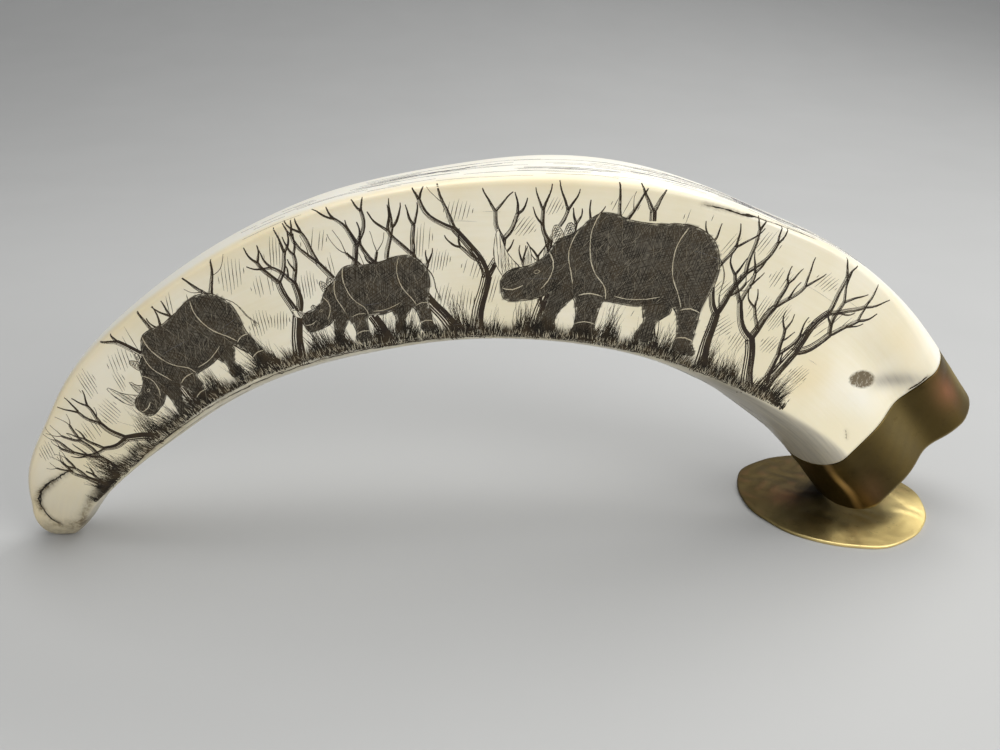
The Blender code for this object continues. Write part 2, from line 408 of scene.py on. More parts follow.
class Graph:
    """The node tree of one material."""

    def __init__(self, name: str) -> None:
        """Starts a material with its Principled shader."""
        self.material = bpy.data.materials.new(name)
        self.material.use_nodes = True
        self.tree = self.material.node_tree
        self.shader = self.tree.nodes["Principled BSDF"]

    def node(self, kind: str, settings: dict, values: dict) -> bpy.types.Node:
        """Adds any node.

        Args:
            kind: Blender's type of the node.
            settings: Properties of the node.
            values: For each input, by name or number, a value or a link.

        Returns:
            The new node.
        """
        made = self.tree.nodes.new(kind)
        for key, setting in settings.items():
            setattr(made, key, setting)
        for key, value in values.items():
            self.feed(made.inputs[key], value)
        return made

    def feed(self, socket: bpy.types.NodeSocket, value: object) -> None:
        """Sets a socket to a plain value or links it."""
        if isinstance(value, Value):
            self.tree.links.new(value.socket, socket)
        elif isinstance(value, bpy.types.NodeSocket):
            self.tree.links.new(value, socket)
        elif socket.type == "RGBA":
            socket.default_value = (*value, 1.0)
        else:
            socket.default_value = value

    def place(self, stretch: tuple[float, float, float] = (1, 1, 1)) -> bpy.types.NodeSocket:
        """Object coordinates, stretched."""
        source = self.node("ShaderNodeTexCoord", {}, {}).outputs["Object"]
        return self.node("ShaderNodeMapping", {}, {"Vector": source, "Scale": stretch}).outputs[0]

    def along(self, stretch: tuple[float, float, float]) -> bpy.types.NodeSocket:
        """The map named run, stretched: decimetres along the run, then around the section."""
        source = self.node("ShaderNodeUVMap", {"uv_map": "run"}, {}).outputs[0]
        return self.node("ShaderNodeMapping", {}, {"Vector": source, "Scale": stretch}).outputs[0]

    def noise(
        self,
        at: bpy.types.NodeSocket,
        scale: float,
        detail: float = 4.0,
        warp: float = 0.0,
        rough: float = 0.5,
    ) -> Value:
        """Cloudy noise between 0 and 1."""
        values = {"Vector": at, "Scale": scale, "Detail": detail, "Roughness": rough, "Distortion": warp}
        return Value(self, self.node("ShaderNodeTexNoise", {}, values).outputs[0])

    def attribute(self, name: str) -> Value:
        """A number kept on the mesh."""
        return Value(self, self.node("ShaderNodeAttribute", {"attribute_name": name}, {}).outputs["Fac"])

    def step(self, value: Value, low: float, high: float) -> Value:
        """A smooth rise from 0 at low to 1 at high."""
        values = {"Value": value, "From Min": low, "From Max": high}
        made = self.node("ShaderNodeMapRange", {"interpolation_type": "SMOOTHSTEP", "clamp": True}, values)
        return Value(self, made.outputs["Result"])

    def mix(self, base: object, other: object, share: Value | float) -> bpy.types.NodeSocket:
        """A colour between two colours."""
        made = self.node("ShaderNodeMix", {"data_type": "RGBA"}, {})
        self.feed(made.inputs["Factor"], share)
        self.feed(made.inputs[6], base)
        self.feed(made.inputs[7], other)
        return made.outputs[2]

    def bump(self, height: Value, depth: float, strength: float = 1.0) -> None:
        """Feeds the shader's Normal from a height in metres times depth."""
        values = {"Height": height, "Distance": depth, "Strength": strength}
        self.feed(self.shader.inputs["Normal"], self.node("ShaderNodeBump", {}, values).outputs[0])

    def shade(self, **values: object) -> bpy.types.Material:
        """Feeds the shader's sockets, named with underscores for spaces, and hands over the material."""
        for key, value in values.items():
            self.feed(self.shader.inputs[key.replace("_", " ")], value)
        return self.material


@dataclass(frozen=True)
class IvoryFinish:
    """Old polished ivory: cream, warmer along the upper edge, bleached on top, stained in its cracks, with
    painted shade and a painted sheen.
    """

    cream: tuple[float, float, float] = (0.80, 0.72, 0.51)
    pale: tuple[float, float, float] = (0.86, 0.80, 0.64)
    warm: tuple[float, float, float] = (0.82, 0.66, 0.36)
    bleached_and_sheen: tuple[float, float, float] = (0.82, 0.79, 0.69)
    shaded: tuple[float, float, float] = (0.36, 0.33, 0.27)
    stained: tuple[float, float, float] = (0.13, 0.095, 0.045)
    inked: tuple[float, float, float] = (0.048, 0.037, 0.021)
    roughness: float = 0.30

    def make(self) -> bpy.types.Material:
        """Cloudy cream with streaks along the run, tinted by the attributes that the tusk's mesh carries."""
        g = Graph("old ivory")
        at = g.place()
        cloud = g.noise(at, 38.0, 5.0)
        streak = g.noise(g.along((1.6, 30.0, 1.0)), 3.0, 6.0, 0.3)
        fine = g.noise(g.along((4.0, 160.0, 1.0)), 3.0, 3.0)
        colour = g.mix(self.cream, self.pale, g.step(cloud * 0.8 + streak * 0.2, 0.36, 0.66))
        colour = g.mix(colour, self.warm, (g.attribute("warm") * (0.55 + 0.5 * streak)).clamp())
        # Bleached top, and a painted sheen below the knot.
        colour = g.mix(colour, self.bleached_and_sheen, (g.attribute("bleached_and_sheen") * (0.75 + 0.4 * cloud)).clamp())
        colour = g.mix(colour, self.shaded, (g.attribute("shaded") * (0.45 + 0.9 * streak)).clamp())
        stain = g.attribute("stained")
        speckle = g.step(g.noise(at, 900.0, 6.0, 0.8, 0.65), 0.36, 0.66)
        colour = g.mix(colour, self.stained, (stain * (0.5 + 0.7 * speckle)).clamp())
        wash = g.attribute("wash")
        hatch = g.noise(at, 1400.0, 3.0, 0.4)
        colour = g.mix(colour, self.inked, (wash * (0.88 + 0.40 * hatch)).clamp())
        rough = self.roughness + 0.16 * g.noise(at, 160.0, 4.0) + 0.12 * g.attribute("bleached_and_sheen") + 0.3 * wash
        g.bump(fine * 0.4 + g.noise(at, 700.0, 5.0) * 0.4 + streak * 0.6, 0.00008, 0.5)
        return g.shade(
            Base_Color=colour,
            Roughness=rough,
            Coat_Weight=0.12,
            Coat_Roughness=0.22,
            Subsurface_Weight=0.10,
            Subsurface_Radius=(1.0, 0.72, 0.42),
            Subsurface_Scale=0.0022,
            Specular_IOR_Level=0.5,
        )


@dataclass(frozen=True)
class InkFinish:
    """Ink rubbed into the cuts: near black, browner where it is thin, and grey in dry scratches."""

    name: str = "engraving ink"
    dark: tuple[float, float, float] = (0.013, 0.010, 0.006)
    brown: tuple[float, float, float] = (0.050, 0.036, 0.020)
    thin: tuple[float, float, float] = (0.26, 0.26, 0.28)

    def make(self) -> bpy.types.Material:
        """Dark to brown by noise, towards the thin colour by each stroke's tone."""
        g = Graph(self.name)
        cloud = g.step(g.noise(g.place(), 320.0, 4.0), 0.35, 0.7)
        colour = g.mix(g.mix(self.dark, self.brown, cloud), self.thin, g.attribute("tone"))
        return g.shade(Base_Color=colour, Roughness=0.55 + 0.2 * cloud, Specular_IOR_Level=0.15)


@dataclass(frozen=True)
class BrassFinish:
    """Old brass: olive brown tarnish, coppery patches, rubbed bright on the cap's end edge, with painted
    highlights and painted shade laid into the colour.
    """

    name: str
    bright: tuple[float, float, float] = (0.92, 0.74, 0.33)
    olive: tuple[float, float, float] = (0.115, 0.080, 0.025)
    dark: tuple[float, float, float] = (0.045, 0.031, 0.010)
    copper: tuple[float, float, float] = (0.30, 0.135, 0.070)
    roughness: float = 0.34
    dents: float = 0.00025

    def make(self) -> bpy.types.Material:
        """Layers of tarnish by noise, with worn places, painted highlights, painted shade and coppery places
        from the mesh.
        """
        g = Graph(self.name)
        at = g.place()
        cloud = g.noise(at, 42.0, 6.0, 0.6)
        spots = g.step(g.noise(at, 420.0, 5.0, 0.2, 0.6), 0.55, 0.75)
        streaks = g.noise(g.place((1.0, 1.0, 9.0)), 210.0, 4.0)
        tarnish = g.step(cloud, 0.36, 0.64)
        # The dark colour serves tarnish and painted shade; the bright colour serves wear and painted
        # highlights.
        colour = g.mix(self.olive, self.dark, (tarnish * 0.30 + spots * 0.15 + g.attribute("shade_and_soot")).clamp())
        colour = g.mix(colour, self.copper, (g.attribute("coppery") * (0.5 + cloud)).clamp())
        colour = g.mix(colour, self.bright, (g.attribute("wear_and_highlight") * (1.1 - spots * 0.35)).clamp())
        rough = self.roughness + 0.22 * tarnish + 0.12 * streaks + 0.1 * spots
        scratches = g.noise(g.place((14.0, 1.0, 3.0)), 160.0, 3.0)
        g.bump(g.noise(at, 90.0, 2.0) + 0.10 * scratches + 0.03 * spots, self.dents, 0.6)
        return g.shade(Base_Color=colour, Metallic=1.0, Roughness=rough)


class Side(Enum):
    """The side of the tusk that a drawing lies on."""

    FRONT = "front"
    BACK = "back"


def near_line(run: Array, height: Array, line: Array) -> tuple[Array, Array]:
    """Distance from points to a broken line, as the least over its spans, and the share of the line passed.

    Args:
        run: Runs of the points.
        height: Heights of the points.
        line: Corners (run, height) of the line.

    Returns:
        The distances in millimetres and the shares from 0 to 1.
    """
    start, end = line[:-1], line[1:]
    reach = end - start
    gap = np.stack([run, height], -1)[..., None, :] - start
    part = np.clip((gap * reach).sum(-1) / (reach**2).sum(-1), 0, 1)
    away = np.linalg.norm(gap - part[..., None] * reach, axis=-1)
    pick = away.argmin(-1)
    least = np.take_along_axis(away, pick[..., None], -1)[..., 0]
    part = np.take_along_axis(part, pick[..., None], -1)[..., 0]
    return least, (pick + part) / len(start)


def blot(run: Array, height: Array, at: tuple[float, float], size: tuple[float, float]) -> Array:
    """A soft round patch: the bell curve of the distance from a place, measured in sizes."""
    return np.exp(-(((run - at[0]) / size[0]) ** 2 + ((height - at[1]) / size[1]) ** 2))


def rise(value: Array, low: float, high: float) -> Array:
    """A smooth rise from 0 at low to 1 at high, or a fall when low is above high."""
    part = np.clip((value - low) / (high - low), 0, 1)
    return part * part * (3 - 2 * part)


def within(points: Array, outline: Array) -> Array:
    """Whether points lie inside a closed outline, by counting the sides that a level ray crosses."""
    x, y = points[..., 0, None], points[..., 1, None]
    (ax, ay), (bx, by) = outline.T, np.roll(outline, -1, 0).T
    spans = (ay > y) != (by > y)
    drop = np.where(by == ay, 1e-9, by - ay)
    return (spans & (x < (bx - ax) * (y - ay) / drop + ax)).sum(-1) % 2 == 1


def covered(points: Array, outlines: list[Array]) -> Array:
    """Whether points lie inside any of several closed outlines."""
    inside = np.zeros(points.shape[:-1], bool)
    for outline in outlines:
        inside |= within(points, outline)
    return inside


def edge_strip(run: Array) -> Array:
    """Width of the bare strip between the drawn ground and the face's lower edge, towards the tip."""
    return 0.4 * rise(run, 140, 105) * rise(run, 14, 26)


@dataclass(frozen=True)
class Groove:
    """A crack or a chipped line in the ivory: corners (run, height), depth, width and how dark it is."""

    line: tuple[tuple[float, float], ...]
    depth: float
    width: float
    ink: float = 1.0

    def corners(self) -> Array:
        """The line as an array of (run, height)."""
        return np.array(self.line, float)


GROOVES = (
    Groove(
        ((28.8, -12.6), (34.0, -13.3), (41.3, -14.4), (51.4, -15.4), (60.0, -15.9), (67.8, -16.5)),
        0.35,
        0.5,
    ),
    Groove(((66.0, -16.4), (78.0, -17.2), (85.7, -17.7), (95.0, -18.3), (103.6, -18.8)), 0.25, 0.55),
    Groove(((101.0, -18.7), (111.0, -19.1), (119.2, -19.5), (129.0, -19.9), (140.0, -20.4)), 0.25, 0.5, 0.9),
    Groove(((34.0, -12.9), (39.0, -13.9), (44.4, -15.0), (51.0, -15.8)), 0.5, 1.0, 0.95),
    Groove(((20.0, -13.6), (35.0, -16.2), (50.0, -18.0), (62.0, -19.0), (75.0, -20.2)), 0.2, 0.4, 0.8),
    Groove(((17.9, 0.4), (12.5, 2.7), (6.2, 5.6), (1.6, 5.7), (-1.5, 3.3), (-4.4, -0.4)), 0.4, 0.85, 1.15),
    Groove(((10.8, 3.6), (6.4, 5.6), (3.0, 6.0), (0.2, 4.9)), 0.3, 1.2),
    Groove(
        ((205.7, 20.6), (210.4, 20.9), (215.1, 21.4), (222.1, 22.8), (228.3, 24.0), (236.1, 24.9)),
        0.3,
        0.6,
    ),
    Groove(((282.6, -15.2), (281.3, -14.4), (280.0, -14.0)), 0.15, 0.4, 0.5),
    Groove(((287.0, 9.5), (287.2, 12.5), (287.1, 16.0)), 0.35, 0.6),
)


@dataclass
class Tusk:
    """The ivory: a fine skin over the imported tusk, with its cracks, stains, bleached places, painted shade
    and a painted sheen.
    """

    bow: Bow
    cap_length: float = 22.3
    nose_rings: int = 34
    body_rings: int = 370
    columns: int = 236
    shoulder: float = 1.1
    spigot: float = 2.0
    knot_at: tuple[float, float] = (272.0, 0.0)
    knot_size: tuple[float, float] = (4.7, 2.5)
    knot_turn: float = 0.62
    knot_depth: float = 0.35
    stain: tuple[tuple[float, float], ...] = ((17.0, -8.8), (10.0, -7.9), (4.0, -7.4), (-2.0, -7.2))
    furrow: tuple[tuple[float, float], ...] = ((275.5, 1.5), (278.5, 5.0), (282.5, 9.5), (287.6, 15.0))
    grooves: tuple[Groove, ...] = ()
    runs: Array = field(init=False)
    points: Array = field(init=False)
    normals: Array = field(init=False)
    girth: Array = field(init=False)
    halves: Array = field(init=False)
    middle: Array = field(init=False)
    way: Array = field(init=False)
    pole: Array = field(init=False)
    shift: Array = field(init=False)

    # warm patches: strength, middle as (run, height), and size along both
    WARM = ((0.55, (256, -10), (7, 8)), (0.5, (273, 15.5), (9, 5)), (0.35, (20, 2), (22, 7)))

    def __post_init__(self) -> None:
        """Lays the grid of the skin: sections evened to equal steps, pressed in where there are grooves."""
        tip, tip_runs, self.pole = self.bow.nose(self.nose_rings)
        seam = self.bow.length - self.cap_length
        body_runs = np.linspace(0, seam, self.body_rings)
        rings = evened(np.concatenate([tip, self.bow.sleeve(body_runs)]), self.columns)
        self.runs = np.concatenate([tip_runs, body_runs])
        values, self.way = self.bow.at(np.maximum(self.runs, 0))
        self.middle, self.halves = values[:, :2], values[:, 2]
        closed = np.concatenate([rings, rings[:, :1]], 1)
        self.girth = np.linalg.norm(np.diff(closed, axis=1), axis=2).sum(1)
        self.points = rings - self.facing(rings) * self.pressed()[..., None]
        self.points[..., 2] = np.maximum(self.points[..., 2], 0.0)
        self.normals = self.facing(self.points)
        low, high = (np.array(corner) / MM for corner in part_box("tusk"))
        across = (low[1] + high[1] - rings[..., 1].min() - rings[..., 1].max()) / 2
        self.shift = np.array([low[0] - min(rings[..., 0].min(), self.pole[0]), across, 0.0])

    @property
    def seam(self) -> float:
        """The run at which the ivory meets the cap."""
        return float(self.runs[-1])

    @staticmethod
    def facing(rings: Array) -> Array:
        """Outward unit normals: the cross product of the steps around and along the grid."""
        around = np.roll(rings, -1, 1) - np.roll(rings, 1, 1)
        along = np.gradient(rings, axis=0)
        normal = np.cross(along, around)
        return normal / (np.linalg.norm(normal, axis=2, keepdims=True) + 1e-12)

    def heights(self) -> Array:
        """Height of every grid point, negative below the middle of the face."""
        return (np.arange(self.columns) / self.columns - 0.5)[None] * self.girth[:, None]

    def pressed(self) -> Array:
        """Depth of the relief: bell-shaped grooves, the knot's dip and shallow tool marks on the back."""
        run = np.broadcast_to(self.runs[:, None], (len(self.runs), self.columns))
        height = self.heights()
        depth = self.knot_depth * np.exp(-(self.knot(run, height) ** 2))
        for groove in self.grooves:
            away, _ = near_line(run, height, groove.corners())
            depth = depth + groove.depth * np.exp(-((away / groove.width) ** 2))
        share = np.abs(height) / self.girth[:, None]
        back = rise(share, 0.27, 0.36)
        wave = np.sin(run * 0.11 + 5 * share) + 0.6 * np.sin(run * 0.047 - 9 * share + 1.3)
        return depth + back * 0.10 * (wave + 1.4)

    def knot(self, run: Array, height: Array) -> Array:
        """Distance from the knot's middle in shares of its half axes: an ellipse turned in the face."""
        ahead, up = run - self.knot_at[0], height - self.knot_at[1]
        c, s = np.cos(self.knot_turn), np.sin(self.knot_turn)
        return np.hypot((ahead * c + up * s) / self.knot_size[0], (up * c - ahead * s) / self.knot_size[1])

    def locate(self, run: Array, height: Array, side: Side = Side.FRONT) -> tuple[Array, Array]:
        """Points and outward normals on the skin, blended between the four nearest points of the grid.

        Args:
            run: Distances along the run.
            height: Heights on the front, or from the middle of the back upwards.
            side: The side that the heights are measured on.

        Returns:
            Points and normals in the tusk's own frame.
        """
        row = np.interp(run, self.runs, np.arange(len(self.runs)))
        girth = np.interp(run, self.runs, self.girth)
        share = height / girth if side is Side.FRONT else 0.5 - height / girth
        column = (share + 0.5) * self.columns
        i = np.clip(np.floor(row).astype(int), 0, len(self.runs) - 2)
        a = (row - i)[..., None]
        j = np.floor(column).astype(int)
        b = (column - j)[..., None]
        j, k = j % self.columns, (j + 1) % self.columns
        found = []
        for grid in (self.points, self.normals):
            behind = grid[i, j] * (1 - b) + grid[i, k] * b
            ahead = grid[i + 1, j] * (1 - b) + grid[i + 1, k] * b
            found.append(behind * (1 - a) + ahead * a)
        point, normal = found
        return point, normal / np.linalg.norm(normal, axis=-1, keepdims=True)

    def half(self, run: Array) -> Array:
        """Half the height of the flat face."""
        return np.interp(run, self.runs, self.halves)

    def axis(self, run: Array | float) -> tuple[Array, Array]:
        """The middle of the face (x, z) and the direction of the run, at distances along it."""
        middle = np.stack([np.interp(run, self.runs, self.middle[:, k]) for k in (0, 1)], -1)
        way = np.stack([np.interp(run, self.runs, self.way[:, k]) for k in (0, 1)], -1)
        return middle, way

    def from_plane(self, points: Array, start: float) -> Array:
        """Points of the face's plane as (run, height), by steps towards the foot of the perpendicular.

        Args:
            points: Places (x, z) in the plane of the face.
            start: A run near them all.

        Returns:
            Pairs (run, height) of the same shape.
        """
        run = np.full(points.shape[:-1], float(start))
        bend = np.gradient(np.unwrap(np.arctan2(self.way[:, 1], self.way[:, 0])), self.runs)
        for _ in range(7):
            middle, way = self.axis(run)
            gap = points - middle
            height = gap[..., 1] * way[..., 0] - gap[..., 0] * way[..., 1]
            stretch = 1 - np.interp(run, self.runs, bend) * height
            run = run + (gap * way).sum(-1) / np.maximum(stretch, 0.3)
        return np.stack([run, height], -1)

    def to_plane(self, run: float, height: float) -> tuple[Array, Array]:
        """The place (x, z) in the face's plane, and the direction of the run there."""
        middle, way = self.axis(run)
        way /= np.linalg.norm(way)
        return middle + height * np.array([-way[1], way[0]]), way

    def tints(self, washed: list[Array]) -> dict[str, Array]:
        """The tints at every grid point, from soft bands and patches laid out along the run, painted shade
        and a painted sheen among them.

        Args:
            washed: Closed outlines (run, height) that are washed with ink under their strokes.

        Returns:
            Arrays named for the attributes that the finish reads.
        """
        run = np.broadcast_to(self.runs[:, None], (len(self.runs), self.columns))
        height = self.heights()
        share = np.abs(height) / self.girth[:, None]
        above = height - self.halves[:, None]
        below = -height - self.halves[:, None]
        warm = 0.5 * np.exp(-(((above - 0.6) / 2.3) ** 2)) * rise(run, 215, 165)
        for strength, at, size in self.WARM:
            warm = warm + strength * blot(run, height, at, size)
        warm = warm + 0.5 * rise(run, 8, -6)
        bleached_and_sheen = rise(above, 2.0, 5.5) * rise(share, 0.52, 0.40)
        # Paler over the top; the soft patch below the knot is a painted sheen, a highlight painted into the
        # colour.
        bleached_and_sheen = np.maximum(bleached_and_sheen, 0.75 * blot(run, height, (276, -4), (9, 5)))
        furrow, passed = near_line(run, height, np.array(self.furrow))
        deepest = 0.35 + 0.65 * np.sin(np.pi * np.clip(passed, 0, 1))
        shaded = 0.5 * rise(below, 0.3, 3.0) * rise(share, 0.5, 0.36) * rise(run, 232, 180)
        shaded = shaded + 0.95 * np.exp(-((furrow / 2.4) ** 2)) * deepest
        shaded = shaded + 0.33 * rise(run, 24, -4)
        shaded = shaded + rise(below, -0.2, 1.8) * rise(run, 212, 232) * rise(share, 0.50, 0.40)
        rim, _ = near_line(run, height, np.array(self.stain))
        stained = 1.4 * rise(self.knot(run, height), 1.12, 0.86)
        stained = stained + 0.55 * blot(run, height, (-5, -7), (6, 3.0))
        stained = stained + 0.42 * rise(run + 0.35 * height, -0.5, -5.0)
        stained = stained + 0.65 * np.exp(-((rim / 1.3) ** 2))
        for groove in self.grooves:
            away, _ = near_line(run, height, groove.corners())
            reach = 0.25 + 0.8 * groove.width
            stained = stained + 0.5 * groove.ink * np.exp(-((away / reach) ** 2))
        ripple = np.sin(run * 0.35 + 2.0) + 0.7 * np.sin(run * 0.83) + 0.5 * np.sin(run * 1.9 + 1.0)
        from_foot = (below + 0.9 + edge_strip(run)) / 1.9
        wash = 0.92 * np.exp(-(from_foot**2)) * rise(run, 6, 16) * rise(run, 252, 236)
        wash = wash * np.clip(0.75 + 0.25 * ripple, 0, 1)
        for outline in washed:
            low, high = outline.min(0) - 1, outline.max(0) + 1
            pick = (run > low[0]) & (run < high[0]) & (height > low[1]) & (height < high[1])
            inside = within(np.stack([run[pick], height[pick]], -1), outline)
            wash[pick] = np.maximum(wash[pick], 0.9 * inside)
        return {"warm": warm, "bleached_and_sheen": bleached_and_sheen, "shaded": shaded, "stained": stained, "wash": wash}

    def build(self, washed: list[Array]) -> bpy.types.Object:
        """Makes the ivory piece, closed by the pole of its nose and a stub inside the cap.

        Args:
            washed: Closed outlines that get a wash of ink.

        Returns:
            The dressed piece.
        """
        last, way = self.points[-1], np.array([self.way[-1, 0], 0.0, self.way[-1, 1]])
        inner = last - self.normals[-1] * self.shoulder
        stub = inner + way * self.spigot
        rings = np.concatenate([self.points, inner[None], stub[None]]) + self.shift
        run = np.r_[self.runs, self.seam + self.shoulder, self.seam + self.shoulder + self.spigot]
        girth = np.concatenate([self.girth, self.girth[-1:], self.girth[-1:]])
        share = np.arange(self.columns + 1) / self.columns - 0.5
        along = np.repeat(run[:, None], self.columns + 1, 1)
        labels = np.stack([along, girth[:, None] * share], 2) / DECIMETRE
        piece = sheath("ivory_tusk", rings, self.pole + self.shift, stub.mean(0) + self.shift, labels)
        for name, values in self.tints(washed).items():
            grid = np.concatenate([values, values[-1:], values[-1:]]).ravel()
            add_attribute(piece, name, np.concatenate([grid, values[0, :1], values[-1, :1]]))
        piece.data.materials.append(IvoryFinish().make())
        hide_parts("tusk")
        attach(piece, "root")
        return piece


def smooth_line(corners: Array, count: int, closed: bool = False) -> Array:
    """A smooth line through corners: the natural spline over their running distance, padded round if closed.

    Args:
        corners: Places to pass.
        count: How many points the line gets.
        closed: Whether the line returns to its first corner.

    Returns:
        Points evenly spread over the running distance.
    """
    corners = np.asarray(corners, float)
    if closed:
        corners = np.concatenate([corners[-3:], corners, corners[:4]])
    run = np.concatenate([[0], np.cumsum(np.linalg.norm(np.diff(corners, axis=0), axis=1) ** 0.5)])
    ends = (run[3], run[-4]) if closed else (run[0], run[-1])
    return spline(corners, run, np.linspace(*ends, count, endpoint=not closed))[0]


@dataclass
class Pen:
    """Collects inked strokes and lays them on a tusk as thin closed ridges."""

    name: str
    finish: InkFinish
    seed: int
    proud: float = 0.028
    sunk: float = 0.03
    batches: list[tuple[Array, Array, Array, Side]] = field(default_factory=list)
    chance: np.random.Generator = field(init=False)

    # a traced stroke at its five points: places along it, how far they wobble, and widths
    OVERLAP = np.linspace(-0.08, 1.08, 5)
    LOOSE = np.array([[0.4], [1], [1], [1], [0.4]])
    TAPER = np.array([0.45, 0.95, 1.0, 0.9, 0.4])

    def __post_init__(self) -> None:
        """Starts the pen's own seeded random numbers."""
        self.chance = np.random.default_rng(self.seed)

    def draw(self, paths: Array, widths: Array, tone: Array | float = 0.0, side: Side = Side.FRONT) -> None:
        """Adds strokes.

        Args:
            paths: Points (run, height) with shape (strokes, points, 2).
            widths: Half widths, one for each point.
            tone: Share of the thin colour, one for each stroke or one for all.
            side: The side that they lie on.
        """
        if len(paths):
            tones = np.broadcast_to(tone, (len(paths),))
            self.batches.append((paths, np.broadcast_to(widths, paths.shape[:2]), tones, side))

    def sweep(
        self,
        starts: Array,
        ends: Array,
        width: Array | float,
        bow: Array | float = 0.0,
        heavy: float = 0.4,
        points: int = 4,
        tone: Array | float = 0.0,
        side: Side = Side.FRONT,
    ) -> None:
        """Adds slightly bowed strokes from start to end that swell and taper.

        Args:
            starts: First points (run, height).
            ends: Last points.
            width: Half width in the middle.
            bow: Sideways swing as a share of the length.
            heavy: Place of the full width, from 0 to 1.
            points: Number of points of a stroke.
            tone: Share of the thin colour.
            side: The side that they lie on.
        """
        share = np.linspace(0, 1, points)
        reach = ends - starts
        across = np.stack([-reach[:, 1], reach[:, 0]], 1)
        swing = np.broadcast_to(bow, (len(starts),))[:, None] * np.sin(np.pi * share)
        paths = starts[:, None] + reach[:, None] * share[:, None]
        paths = paths + across[:, None] * swing[..., None]
        swell = 1 - 0.85 * (np.abs(share - heavy) / max(heavy, 1 - heavy)) ** 1.6
        widths = np.broadcast_to(width, (len(starts),))[:, None] * swell
        self.draw(paths, widths, tone, side)

    def trace(self, line: Array, width: float, piece: float, shake: float = 0.05) -> None:
        """Draws a line as a row of strokes that overlap a little.

        Args:
            line: Points (run, height) close together.
            width: Half width of the strokes.
            piece: Length of a stroke.
            shake: The wobble in millimetres.
        """
        run = np.concatenate([[0], np.cumsum(np.linalg.norm(np.diff(line, axis=0), axis=1))])
        count = max(1, int(round(run[-1] / piece)))
        ends = np.linspace(0, run[-1], count + 1)
        at = np.clip(ends[:-1, None] + (ends[1] - ends[0]) * self.OVERLAP, 0, run[-1])
        paths = np.stack([np.interp(at, run, line[:, k]) for k in (0, 1)], 2)
        paths = paths + self.chance.normal(0, shake, (count, 1, 2)) * self.LOOSE
        widths = width * self.TAPER * self.chance.uniform(0.75, 1.15, (count, 1))
        self.draw(paths, widths)

    def build(self, tusk: Tusk) -> bpy.types.Object:
        """Lays every stroke on the skin: two sunk edges and a proud ridge along each path, with closed ends.

        Args:
            tusk: The tusk that carries the drawing.

        Returns:
            The dressed piece.
        """
        all_points, all_loops, all_sizes, all_tones = [], [], [], []
        base = 0
        for paths, widths, tones, side in self.batches:
            count, n = paths.shape[:2]
            point, normal = tusk.locate(paths[..., 0], paths[..., 1], side)
            way = np.gradient(point, axis=1)
            way /= np.linalg.norm(way, axis=2, keepdims=True) + 1e-9
            out = np.cross(normal, way)
            low = point - normal * self.sunk
            start = low[:, :1] - way[:, :1] * widths[:, :1, None]
            end = low[:, -1:] + way[:, -1:] * widths[:, -1:, None]
            wide = out * widths[..., None]
            ridge = point + normal * self.proud
            points = np.concatenate([low + wide, low - wide, ridge, start, end], 1)
            i = np.arange(n - 1)
            left, right, top = i, i + n, i + 2 * n
            quads = np.concatenate(
                [
                    np.stack([left, top, top + 1, left + 1], 1),
                    np.stack([top, right, right + 1, top + 1], 1),
                    np.stack([right, left, left + 1, right + 1], 1),
                ]
            ).ravel()
            a, b = 3 * n, 3 * n + 1
            tips = [a, 2 * n, 0, a, n, 2 * n, a, 0, n]
            tips += [b, n - 1, 3 * n - 1, b, 3 * n - 1, 2 * n - 1, b, 2 * n - 1, n - 1]
            template = np.concatenate([quads, tips])
            starts = base + (3 * n + 2) * np.arange(count)
            all_points.append(points.reshape(-1, 3))
            all_loops.append((starts[:, None] + template).ravel())
            all_sizes.append(np.tile(np.r_[np.full(3 * (n - 1), 4), np.full(6, 3)], count))
            all_tones.append(np.repeat(tones, 3 * n + 2))
            base += count * (3 * n + 2)
        points = np.concatenate(all_points) + tusk.shift
        points[:, 2] = np.maximum(points[:, 2], 0.0)
        loops = np.concatenate(all_loops)
        piece = make_mesh(self.name, points, loops, np.concatenate(all_sizes), smooth=False)
        add_attribute(piece, "tone", np.concatenate(all_tones))
        flat = (points[:, [0, 2]] - points[:, [0, 2]].min(0)) / np.ptp(points[:, [0, 2]], axis=0)
        add_uv(piece, "OFBake", BAKE_MARGIN + BAKE_SPAN * flat[loops])
        piece.data.materials.append(self.finish.make())
        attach(piece, "root")
        return piece


